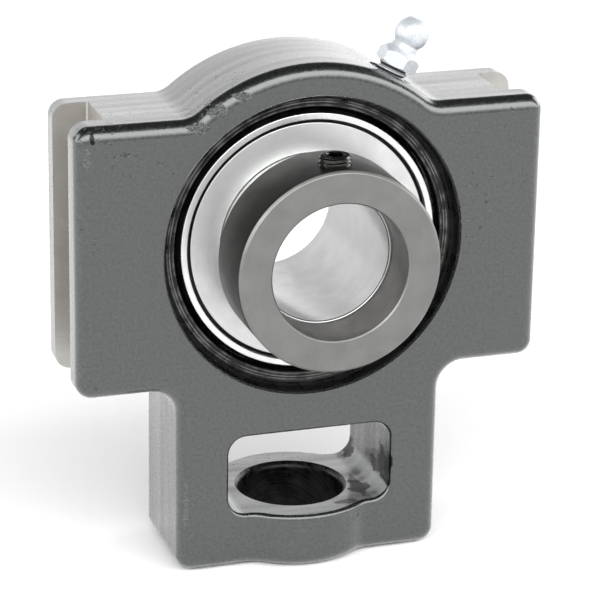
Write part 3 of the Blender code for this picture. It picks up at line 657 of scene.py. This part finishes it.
def thread_block(radius, pitch, low, high, place=Matrix()):
    """A threaded rod: a zigzag wire swept along a helix, a pitch a turn, with both ends filled."""
    count = math.ceil((high - low) / pitch) + 1
    root = radius - 0.4 * pitch
    path = []
    for i in range(count):
        start = low + (i - 1) * pitch
        for reach, share in ((root, 0), (root, 0.15), (radius, 0.5), (radius, 0.65)):
            path.append((reach, start + share * pitch, 0))
    path += [(root, low + (count - 1) * pitch, 0)]
    shape = wire(path, closed=False)
    bmesh.ops.spin(
        shape,
        geom=shape.verts[:] + shape.edges[:],
        cent=(0, 0, 0),
        axis=(0, 1, 0),
        dvec=(0, pitch / SMALL_STEPS, 0),
        angle=2 * math.pi,
        steps=SMALL_STEPS,
    )
    bmesh.ops.remove_doubles(shape, verts=shape.verts, dist=MERGE)
    bmesh.ops.holes_fill(shape, edges=[edge for edge in shape.edges if edge.is_boundary])
    shape.transform(place)
    return close_up(shape)


def screw_place():
    """Local Y is the set screw's axis, out from the shaft's."""
    return Matrix.Translation((0, -SCREW_PLANE, 0)) @ UPRIGHT


def build_collar(blackened, face, worn):
    """Chamfered collar: black oxide, but thin on the face and worn by the shaft in the bore."""
    chamfer = 0.5 * MM
    path = [
        (COLLAR_RADIUS - chamfer, -COLLAR_REAR, 0),
        (COLLAR_RADIUS, -COLLAR_REAR - chamfer, 0.1 * MM),
        (COLLAR_RADIUS, chamfer - COLLAR_FRONT, 0.1 * MM),
        (COLLAR_RADIUS - chamfer, -COLLAR_FRONT, 0.1 * MM),
        (COLLAR_BORE + 0.3 * MM, -COLLAR_FRONT, 0.08 * MM),
        (COLLAR_BORE, 0.3 * MM - COLLAR_FRONT, 0.08 * MM),
        (COLLAR_BORE, -COLLAR_REAR, 0),
    ]
    recess = CAM_RADIUS + PLAY
    floor = -RING_FRONT - PLAY
    above = MM - COLLAR_REAR
    cam = [(0, above, 0), (recess, above, 0), (recess, floor, 0), (0, floor, 0)]
    item = to_object("eccentric_collar", turned(path))
    carve(item, ("DIFFERENCE", turned(cam, closed=False, place=CAM_PLACE)))
    place = screw_place()
    low = COLLAR_BORE - 2 * MM
    high = COLLAR_RADIUS + 2 * MM
    thread = thread_block(SCREW_RADIUS + PLAY, SCREW_PITCH, low, high, place)
    mouth = COLLAR_RADIUS - 0.4 * MM
    lead = [
        (0, COLLAR_RADIUS + MM, 0),
        (SCREW_RADIUS + MM, COLLAR_RADIUS + MM, 0),
        (SCREW_RADIUS - 0.1 * MM, mouth, 0),
        (0, mouth, 0),
    ]
    carve(item, ("DIFFERENCE", thread), ("DIFFERENCE", turned(lead, False, SMALL_STEPS, place)))
    dress(item, "collar", [blackened, face, worn], "locking_collar")
    for flat in item.data.polygons:
        if flat.center.y < chamfer - COLLAR_FRONT:
            flat.material_index = 1
        elif math.hypot(flat.center.x, flat.center.z) < COLLAR_BORE + 0.05 * MM:
            flat.material_index = 2
    return item


def hexagon(width, low, high, place=Matrix()):
    """A hexagon bar along Y, as wide across its flats as given."""
    shape = bmesh.new()
    radius = width / math.sqrt(3)
    bmesh.ops.create_cone(
        shape,
        cap_ends=True,
        segments=6,
        radius1=radius,
        radius2=radius,
        depth=high - low,
        matrix=Matrix.Translation((0, (low + high) / 2, 0)) @ Matrix.Rotation(-math.pi / 2, 4, "X"),
    )
    shape.transform(place)
    return shape


def build_set_screw(steel):
    """Hexagon socket set screw, which stands out of the collar with two or three threads."""
    top = COLLAR_RADIUS + SCREW_ABOVE_COLLAR
    tip = top - SCREW_LENGTH
    place = screw_place()
    radius = SCREW_RADIUS - 0.05 * MM
    path = [
        (0, top, 0),
        (radius - 0.4 * MM, top, 0.1 * MM),
        (radius, top - 0.4 * MM, 0),
        (radius, tip + SCREW_POINT, 0),
        (radius - SCREW_POINT, tip, 0.05 * MM),
        (0, tip + SCREW_POINT, 0),
    ]
    thread = thread_block(radius, SCREW_PITCH, tip - MM, top + MM, place)
    socket = hexagon(SOCKET_WIDTH, top - SOCKET_DEPTH, top + MM, place)
    mouth = SOCKET_WIDTH / math.sqrt(3) + 0.15 * MM
    lead = [
        (0, top + 0.1 * MM, 0),
        (mouth, top + 0.1 * MM, 0),
        (mouth - 0.45 * MM, top - 0.35 * MM, 0),
        (0, top - 0.35 * MM, 0),
    ]
    item = to_object("socket_set_screw", turned(path, False, SMALL_STEPS, place))
    cone = turned(lead, False, SMALL_STEPS, place)
    carve(item, ("INTERSECT", thread), ("DIFFERENCE", socket), ("DIFFERENCE", cone))
    return dress(item, "set_screw", [steel], "set_screw", sharp=25)


def build_fitting(zinc, thread_shade):
    """Grease fitting: a threaded shank, a hexagon that tapers to the neck, and the round head.

    It is shaped upright on the origin, and the whole piece is then moved to its place.
    """
    turn = math.acos(TIP_RADIUS / NIPPLE_RADIUS) + math.acos(NECK_RADIUS / NIPPLE_RADIUS)
    head = [
        (0, NIPPLE_TIP, 0),
        (TIP_RADIUS, NIPPLE_TIP, 0),
        (0, NIPPLE_CENTRE, -turn, 24),
        (NECK_RADIUS + NECK_FLARE, HEX_TOP, 0),
        (NECK_RADIUS + NECK_FLARE, HEX_TOP - MM, 0),
        (0, HEX_TOP - MM, 0),
    ]
    corner = HEX_WIDTH / math.sqrt(3) + 0.1 * MM
    cone = [
        (0, HEX_TOP + 0.1 * MM, 0),
        (NECK_RADIUS + NECK_FLARE + 0.1 * MM, HEX_TOP, 0),
        (corner, HEX_TOP - HEX_TAPER, 0),
        (corner, SHANK_HEIGHT + 0.3 * MM, 0),
        (corner - 0.75 * MM, SHANK_HEIGHT - 0.1 * MM, 0),
        (0, SHANK_HEIGHT - 0.1 * MM, 0),
    ]
    shank = [
        (0, SHANK_HEIGHT + MM, 0),
        (FITTING_THREAD, SHANK_HEIGHT + MM, 0),
        (FITTING_THREAD, 0.5 * MM - THREAD_LENGTH, 0),
        (FITTING_THREAD - 0.5 * MM, -THREAD_LENGTH, 0),
        (0, -THREAD_LENGTH, 0),
    ]
    mouth = CHECK_BALL_RADIUS - 0.15 * MM
    valve = CHECK_BALL_RADIUS + PLAY
    bore = [
        (0, NIPPLE_TIP + MM, 0),
        (mouth + 0.35 * MM, NIPPLE_TIP + MM, 0),
        (mouth + 0.35 * MM, NIPPLE_TIP, 0),
        (mouth, NIPPLE_TIP - 0.35 * MM, 0),
        (mouth, CHECK_BALL_PLACE + 0.8 * MM, 0),
        (valve, CHECK_BALL_PLACE + 0.2 * MM, 0),
        (valve, VALVE_FLOOR, 0),
        (VALVE_WAY, VALVE_FLOOR, 0),
        (VALVE_WAY, -THREAD_LENGTH - MM, 0),
        (0, -THREAD_LENGTH - MM, 0),
    ]
    body = to_object("hexagon", hexagon(HEX_WIDTH, SHANK_HEIGHT - 0.05 * MM, HEX_TOP))
    carve(body, ("INTERSECT", turned(cone, False, SMALL_STEPS)))
    shape = bmesh.new()
    shape.from_mesh(body.data)
    bpy.data.objects.remove(body)
    item = to_object("grease_nipple", turned(shank, False, SMALL_STEPS))
    low = -THREAD_LENGTH - 2 * MM
    high = SHANK_HEIGHT + 3 * MM
    carve(item, ("INTERSECT", thread_block(FITTING_THREAD, FITTING_PITCH, low, high)))
    carve(item, ("UNION", shape))
    carve(item, ("UNION", turned(head, False, SMALL_STEPS)))
    carve(item, ("DIFFERENCE", turned(bore, False, SMALL_STEPS)))
    place = fitting_place()
    item.data.transform(place)
    dress(item, "housing", [zinc, thread_shade], "grease_fitting", sharp=28)
    # Painted shade: the thread's roots and the sides that face down get the near black finish
    upright = place.inverted()
    for face in item.data.polygons:
        x, y, z = upright @ face.center
        slope = (upright.to_3x3() @ face.normal).y
        outside = 1.5 * MM < math.hypot(x, z) < FITTING_THREAD - 0.05 * MM
        if outside and y < SHANK_HEIGHT and slope < 0.3:
            face.material_index = 1
    return item


def build_spring(steel):
    """The check ball's compression spring, which shortens as the ball is pushed down."""
    low = VALVE_FLOOR + PLAY
    length = CHECK_BALL_PLACE - CHECK_BALL_RADIUS - low
    shape = bmesh.new()
    start = Matrix.Translation((CHECK_BALL_RADIUS - SPRING_WIRE, low + SPRING_WIRE, 0))
    bmesh.ops.create_circle(shape, segments=10, radius=SPRING_WIRE, matrix=start)
    steps = 24 * SPRING_TURNS
    bmesh.ops.spin(
        shape,
        geom=shape.verts[:] + shape.edges[:],
        cent=(0, 0, 0),
        axis=(0, 1, 0),
        dvec=(0, (length - 2 * SPRING_WIRE) / steps, 0),
        angle=2 * math.pi * SPRING_TURNS,
        steps=steps,
    )
    bmesh.ops.holes_fill(shape, edges=[edge for edge in shape.edges if edge.is_boundary])
    place = fitting_place()
    shape.transform(place)
    item = to_object("check_ball_spring", close_up(shape))
    dress(item, "housing", [steel], "fitting_spring", sharp=60)
    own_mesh(item)
    return item


def blots(tree, place, spots, torn):
    """Patches with torn edges: 1 inside ellipsoids of the given centres and half sizes, 0 outside."""
    level = 0.0
    for centre, size in spots:
        settings = {"Vector": place}
        settings["Location"] = [part * MM for part in centre]
        settings["Scale"] = [part * MM for part in size]
        moved = add_node(tree, "Mapping", settings, vector_type="TEXTURE")["Vector"]
        reach = add_node(tree, "VectorMath", {0: moved}, operation="LENGTH")["Value"]
        reach = add_node(tree, "Math", {0: torn, 1: 2.4, 2: reach}, operation="MULTIPLY_ADD")[0]
        settings = {"Value": reach, "From Min": 1.9, "From Max": 2.2, "To Min": 1.0, "To Max": 0.0}
        spot = add_node(tree, "MapRange", settings, interpolation_type="SMOOTHSTEP")["Result"]
        level = add_node(tree, "Math", {0: spot, 1: level}, operation="MAXIMUM")[0]
    return level


def enamel_on_casting():
    """Machinery enamel with metal flake, sprayed on a sand casting.

    It is dark face on and mirrors its surroundings at a slant. The cast skin waves under it, and the film
    sinks into open pores and lies over coarse skin. Near black patches with less coat paint shade and dark
    reflections in the window and at the left wing's corner.
    """
    finish, tree, shader = new_material("grey_flake_enamel_on_sand_cast_iron")
    place = add_node(tree, "TexCoord")["Object"]
    # Waves left by drawing the pattern out of the sand: 5 mm wide, and ten times as long
    drawn = add_node(tree, "Mapping", {"Vector": place, "Scale": (20.0, 200.0, 20.0)})["Vector"]
    waves = add_node(tree, "TexNoise", {"Vector": drawn, "Scale": 1.0, "Detail": 1.0})["Fac"]
    # Sand grain under the film, 0.6 mm across, coarser than real so that it shows
    settings = {"Vector": place, "Scale": 1 / (0.6 * MM), "Detail": 3.0, "Roughness": 0.6}
    grain = add_node(tree, "TexNoise", settings)["Fac"]
    # Ragged edges 2.5 mm across
    torn = add_node(tree, "TexNoise", {"Vector": place, "Scale": 1 / (2.5 * MM), "Detail": 4.0})["Fac"]
    # Pores up to 1 mm wide, in patches
    pores = add_node(tree, "TexNoise", {"Vector": place, "Scale": 1 / (1.1 * MM), "Detail": 2.0})["Fac"]
    settings = {"Value": pores, "From Min": 0.38, "From Max": 0.3, "To Min": 1.0, "To Max": 0.0}
    pores = add_node(tree, "MapRange", settings, interpolation_type="SMOOTHSTEP")["Result"]
    patches = add_node(tree, "TexNoise", {"Vector": place, "Scale": 1 / (22 * MM), "Detail": 1.0})["Fac"]
    settings = {"Value": patches, "From Min": 0.56, "From Max": 0.64, "To Min": 1.0, "To Max": 0.0}
    clear = add_node(tree, "MapRange", settings)["Result"]
    painted_shade = blots(tree, place, PAINTED_SHADE_PATCHES, torn)
    coarse = blots(tree, place, COARSE, torn)
    pits = blots(tree, place, PITS, torn)
    clear = add_node(tree, "Math", {0: clear, 1: pits}, operation="SUBTRACT")[0]
    pores = add_node(tree, "Math", {0: pores, 1: clear}, operation="MAXIMUM")[0]
    # Flakes that lie darker and lighter from grain to grain
    tints = {0: grain, 6: linear("#3d3e3e"), 7: linear("#626464")}
    colour = add_node(tree, "Mix", tints, data_type="RGBA")[2]
    # Painted shade and dark reflections: near black patches in the window and at the left wing's corner,
    # with less coat on them below
    tints = {0: painted_shade, 6: colour, 7: linear("#1b1c1d")}
    colour = add_node(tree, "Mix", tints, data_type="RGBA")[2]
    tints = {0: pores, 6: linear("#3a3b3c"), 7: colour}
    colour = add_node(tree, "Mix", tints, data_type="RGBA")[2]
    settings = {"Value": grain, "From Min": 0.3, "From Max": 0.7, "To Min": 0.24, "To Max": 0.36}
    rough = add_node(tree, "MapRange", settings)["Result"]
    normal = add_node(tree, "Bump", {"Height": waves, "Distance": 0.25 * MM})["Normal"]
    settings = {"Height": grain, "Distance": 0.015 * MM, "Normal": normal}
    normal = add_node(tree, "Bump", settings)["Normal"]
    settings = {"Height": grain, "Strength": coarse, "Distance": 0.7 * MM, "Normal": normal}
    normal = add_node(tree, "Bump", settings)["Normal"]
    settings = {"Height": pores, "Distance": 0.12 * MM, "Normal": normal}
    normal = add_node(tree, "Bump", settings)["Normal"]
    coat_off_painted_shade = add_node(tree, "Math", {0: painted_shade, 1: -0.8, 2: 1.0}, operation="MULTIPLY_ADD")[0]
    fill(shader, {"Base Color": colour, "Metallic": 0.95, "Roughness": rough, "Normal": normal})
    fill(shader, {"Coat Weight": coat_off_painted_shade, "Coat Roughness": 0.1, "Coat Normal": normal})
    return finish


def milled_iron():
    """Grey iron bared by a side mill: dull grey, with feed lines across the guide."""
    finish, tree, shader = new_material("milled_grey_cast_iron")
    place = add_node(tree, "TexCoord")["Object"]
    # Feed lines 0.5 mm apart, broken every few millimetres
    settings = {"Vector": place, "Scale": (120.0, 120.0, 2000.0)}
    stretched = add_node(tree, "Mapping", settings)["Vector"]
    lines = add_node(tree, "TexNoise", {"Vector": stretched, "Scale": 1.0, "Detail": 3.0})["Fac"]
    settings = {"Vector": place, "Scale": 1 / (5 * MM), "Detail": 4.0}
    stains = add_node(tree, "TexNoise", settings)["Fac"]
    tints = {0: stains, 6: linear("#a9a7a2"), 7: linear("#cac8c3")}
    colour = add_node(tree, "Mix", tints, data_type="RGBA")[2]
    settings = {"Value": stains, "From Min": 0.3, "From Max": 0.7, "To Min": 0.5, "To Max": 0.34}
    rough = add_node(tree, "MapRange", settings)["Result"]
    normal = add_node(tree, "Bump", {"Height": lines, "Distance": 0.05 * MM})["Normal"]
    fill(shader, {"Base Color": colour, "Metallic": 0.9, "Roughness": rough, "Normal": normal})
    return finish


def preserved_recess(name, dark, light):
    """Turned iron under black rust preventive: nearly black, with a wet gloss on torn tool marks."""
    finish, tree, shader = new_material(name)
    lines = tool_marks(tree, 0.5 * MM)
    place = add_node(tree, "TexCoord")["Object"]
    film = add_node(tree, "TexNoise", {"Vector": place, "Scale": 1 / (3 * MM), "Detail": 5.0})["Fac"]
    torn = add_node(tree, "Math", {0: film, 1: lines}, operation="MULTIPLY")[0]
    settings = {"Value": torn, "From Min": 0.2, "From Max": 0.34}
    share = add_node(tree, "MapRange", settings)["Result"]
    tints = {0: share, 6: linear(dark), 7: linear(light)}
    colour = add_node(tree, "Mix", tints, data_type="RGBA")[2]
    settings = {"Value": film, "From Min": 0.3, "From Max": 0.7, "To Min": 0.18, "To Max": 0.42}
    rough = add_node(tree, "MapRange", settings)["Result"]
    normal = add_node(tree, "Bump", {"Height": torn, "Distance": 0.15 * MM})["Normal"]
    fill(shader, {"Base Color": colour, "Metallic": 0.5, "Roughness": rough, "Normal": normal})
    return finish


def tool_marks(tree, pitch):
    """Marks that run round the shaft's axis, one height for each radius and place along it."""
    way = add_node(tree, "SeparateXYZ", {0: add_node(tree, "TexCoord")["Object"]})
    flat = add_node(tree, "CombineXYZ", {"X": way["X"], "Z": way["Z"]})[0]
    radius = add_node(tree, "VectorMath", {0: flat}, operation="LENGTH")["Value"]
    place = add_node(tree, "Math", {0: radius, 1: way["Y"]}, operation="ADD")[0]
    settings = {"W": place, "Scale": 1 / pitch, "Detail": 3.0, "Roughness": 0.6}
    return add_node(tree, "TexNoise", settings, noise_dimensions="1D")["Fac"]


def turned_steel(name, dark, light, metallic, dull, pitch, depth):
    """Steel turned, ground or brushed round the shaft: two tones in rings, and softer smears."""
    finish, tree, shader = new_material(name)
    lines = tool_marks(tree, pitch)
    place = add_node(tree, "TexCoord")["Object"]
    smears = add_node(tree, "TexNoise", {"Vector": place, "Scale": 1 / (4 * MM), "Detail": 4.0})["Fac"]
    both = add_node(tree, "Mix", {0: 0.4, 2: smears, 3: lines})[0]
    settings = {"Value": both, "From Min": 0.35, "From Max": 0.65}
    share = add_node(tree, "MapRange", settings)["Result"]
    tints = {0: share, 6: linear(dark), 7: linear(light)}
    colour = add_node(tree, "Mix", tints, data_type="RGBA")[2]
    settings = {"Value": smears, "From Min": 0.3, "From Max": 0.7}
    settings.update({"To Min": 1.1 * dull, "To Max": 0.92 * dull})
    rough = add_node(tree, "MapRange", settings)["Result"]
    normal = add_node(tree, "Bump", {"Height": lines, "Distance": depth})["Normal"]
    fill(shader, {"Base Color": colour, "Metallic": metallic, "Roughness": rough, "Normal": normal})
    return finish


def mottled(name, dark, light, metallic, dull, size, depth):
    """A plated, blackened or moulded surface: two tones in small patches, with a faint relief."""
    finish, tree, shader = new_material(name)
    place = add_node(tree, "TexCoord")["Object"]
    patches = add_node(tree, "TexNoise", {"Vector": place, "Scale": 1 / size, "Detail": 3.0})["Fac"]
    settings = {"Value": patches, "From Min": 0.35, "From Max": 0.65}
    share = add_node(tree, "MapRange", settings)["Result"]
    tints = {0: share, 6: linear(dark), 7: linear(light)}
    colour = add_node(tree, "Mix", tints, data_type="RGBA")[2]
    settings = {"Value": patches, "From Min": 0.3, "From Max": 0.7}
    settings.update({"To Min": 1.1 * dull, "To Max": 0.92 * dull})
    rough = add_node(tree, "MapRange", settings)["Result"]
    normal = add_node(tree, "Bump", {"Height": patches, "Distance": depth})["Normal"]
    fill(shader, {"Base Color": colour, "Metallic": metallic, "Roughness": rough, "Normal": normal})
    return finish


def light_studio():
    """A tall soft light in front, strongest near its top, a dark ceiling and pale walls behind and aside."""
    world = bpy.data.worlds.new("studio")
    scene.world = world
    world.use_nodes = True
    tree = world.node_tree
    way = add_node(tree, "SeparateXYZ", {0: add_node(tree, "TexCoord")["Generated"]})
    toward = add_node(tree, "Math", {0: way["Y"], 1: -1.0}, operation="MULTIPLY")[0]
    height = add_node(tree, "Math", {0: way["Z"], 1: toward}, operation="ARCTAN2")[0]
    angle = add_node(tree, "Math", {0: height}, operation="DEGREES")[0]
    # Degrees from the front horizon over the top to the back, and how the light changes between them
    changes = [
        (-4, 4, LOW_LIGHT),
        (8, 36, HIGH_LIGHT - LOW_LIGHT),
        (58, 64, CEILING_LIGHT - HIGH_LIGHT),
        (144, 152, BACK_LIGHT - CEILING_LIGHT),
    ]
    level = 0.0
    for start, end, change in changes:
        settings = {"Value": angle, "From Min": start, "From Max": end, "To Max": change}
        step = add_node(tree, "MapRange", settings, interpolation_type="SMOOTHSTEP")["Result"]
        level = add_node(tree, "Math", {0: step, 1: level}, operation="ADD")[0]
    # The two end walls, only behind the front light
    aside = add_node(tree, "Math", {0: way["X"]}, operation="ABSOLUTE")[0]
    wall = END_LIGHT
    for value, start, end in ((aside, 0.66, 0.8), (angle, 95, 105)):
        settings = {"Value": value, "From Min": start, "From Max": end}
        share = add_node(tree, "MapRange", settings, interpolation_type="SMOOTHSTEP")["Result"]
        wall = add_node(tree, "Math", {0: share, 1: wall}, operation="MULTIPLY")[0]
    level = add_node(tree, "Math", {0: level, 1: wall}, operation="MAXIMUM")[0]
    shade = tree.nodes["Background"]
    shade.inputs["Color"].default_value = (1, 1, 1, 1)
    tree.links.new(level, shade.inputs["Strength"])


def lay_floor():
    """A white paper sweep, lit to white by the studio, so the object keeps its shadow."""
    shape = bmesh.new()
    bmesh.ops.create_grid(shape, x_segments=1, y_segments=1, size=20.0)
    shape.transform(Matrix.Translation((0, 0, TAIL_END - 0.2 * MM)))
    floor = to_object("floor", shape)
    finish, _, shader = new_material("white_paper_sweep")
    fill(shader, {"Base Color": linear("#fdfdfd"), "Roughness": 0.9, "Specular IOR Level": 0.0})
    floor.data.materials.append(finish)


def add_camera():
    """The photograph's lens, place and roll."""
    azimuth = math.radians(VIEW_AZIMUTH)
    elevation = math.radians(VIEW_ELEVATION)
    level = math.cos(elevation)
    out = Vector((math.sin(azimuth) * level, -math.cos(azimuth) * level, math.sin(elevation)))
    data = bpy.data.cameras.new("camera")
    data.lens = LENS
    data.shift_x, data.shift_y = LENS_SHIFT
    data.clip_start = 0.01
    camera = bpy.data.objects.new("camera", data)
    scene.collection.objects.link(camera)
    turn = out.to_track_quat("Z", "Y").to_matrix().to_4x4()
    turn @= Matrix.Rotation(math.radians(VIEW_ROLL), 4, "Z")
    camera.matrix_world = Matrix.Translation(VIEW_TARGET + out * VIEW_DISTANCE) @ turn
    scene.camera = camera


def main():
    # Tones are dark and light. Numbers are metallic and roughness, then the pattern's size and its relief.
    # The same black preventive twice: near black on the recess's wall, the seat, the screw's hole and the
    # ring's spherical outside, where it paints their shade, and lighter on the flat step, where grey iron
    # shows through it
    black_and_shade = preserved_recess("black_preventive_and_painted_shade", "#0e0f10", "#262727")
    thin = preserved_recess("wiped_black_rust_preventive", "#151515", "#727270")
    casting = [enamel_on_casting(), milled_iron(), black_and_shade, thin]
    # Ground bearing steel: fine rings, nearly a mirror on the balls and the ring's rim
    ground = turned_steel(
        "ground_bearing_steel", "#e2e3e2", "#f4f5f4", 0.8, 0.28, 0.3 * MM, 0.002 * MM
    )
    # The inner ring's ground bore is greyer, under a film of oil
    bore = turned_steel(
        "oiled_ground_bearing_steel", "#a1a2a1", "#a9aaa9", 1.0, 0.24, 0.4 * MM, 0.002 * MM
    )
    # Cold rolled sheet, pressed and left dull, so it shows an even pale grey
    pressed = turned_steel(
        "pressed_cold_rolled_steel", "#d4d5d4", "#e4e5e4", 0.8, 0.42, 0.2 * MM, 0.005 * MM
    )
    # Steel faced bright under a thin oxide: an even middle grey
    faced = turned_steel(
        "thin_oxide_on_faced_steel", "#7a7a79", "#868684", 1.0, 0.38, 0.2 * MM, 0.006 * MM
    )
    # Turned steel under the full black oxide: dark grey with visible tool rings
    oxide = turned_steel(
        "black_oxide_on_turned_steel", "#3a3938", "#4a4947", 1.0, 0.34, 0.3 * MM, 0.015 * MM
    )
    # The collar's bore: the oxide is worn by the shaft, so it is a tone lighter
    worn = turned_steel(
        "worn_black_oxide_on_bored_steel", "#555452", "#686664", 1.0, 0.34, 0.3 * MM, 0.01 * MM
    )
    # Black oxide on a rolled thread: near black, with bright crests where it is oiled
    black = mottled(
        "oiled_black_oxide_on_alloy_steel", "#3c3c3b", "#6a6a68", 1.0, 0.2, 0.5 * MM, 0.005 * MM
    )
    # Bright zinc plate: pale, milky and finely crystalline
    zinc = mottled(
        "bright_zinc_plate_on_steel", "#b9bec3", "#ced2d6", 0.4, 0.42, 0.4 * MM, 0.01 * MM
    )
    # Painted shade: near black in the roots of the fitting's thread and on the sides that face down
    thread_shade = mottled(
        "painted_shade_in_thread", "#161616", "#2c2c2b", 0.0, 0.5, 0.4 * MM, 0.02 * MM
    )
    # Moulded nitrile rubber: matt black with a dusty bloom
    rubber = mottled(
        "moulded_nitrile_rubber", "#121212", "#242424", 0.0, 0.6, 0.6 * MM, 0.02 * MM
    )
    # Moulded nylon: pale amber, faintly cloudy
    nylon = mottled(
        "moulded_natural_nylon", "#c2ae82", "#d6c59c", 0.0, 0.45, 1.5 * MM, 0.02 * MM
    )
    # Drawn spring wire
    wire_steel = mottled(
        "drawn_spring_steel", "#a2a3a4", "#c4c5c6", 1.0, 0.28, 0.3 * MM, 0.005 * MM
    )
    build_casting(casting)
    build_outer_ring(ground, black_and_shade)
    build_inner_ring(ground, bore)
    build_shroud("front_cover", "front_seal_shroud", -1, pressed, rubber)
    build_shroud("rear_cover", "rear_seal_shroud", 1, pressed, rubber)
    build_collar(oxide, faced, worn)
    build_set_screw(black)
    build_fitting(zinc, thread_shade)
    build_spring(wire_steel)
    kept = {
        "cage": nylon,
        "front_seal_lip": rubber,
        "rear_seal_lip": rubber,
        "fitting_check_ball": ground,
    }
    for i in range(9):
        kept[f"ball_{i + 1}"] = ground
    for name, finish in kept.items():
        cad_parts[name].material_slots[0].material = finish
    light_studio()
    lay_floor()
    add_camera()


main()
scene.view_settings.view_transform = "Standard"
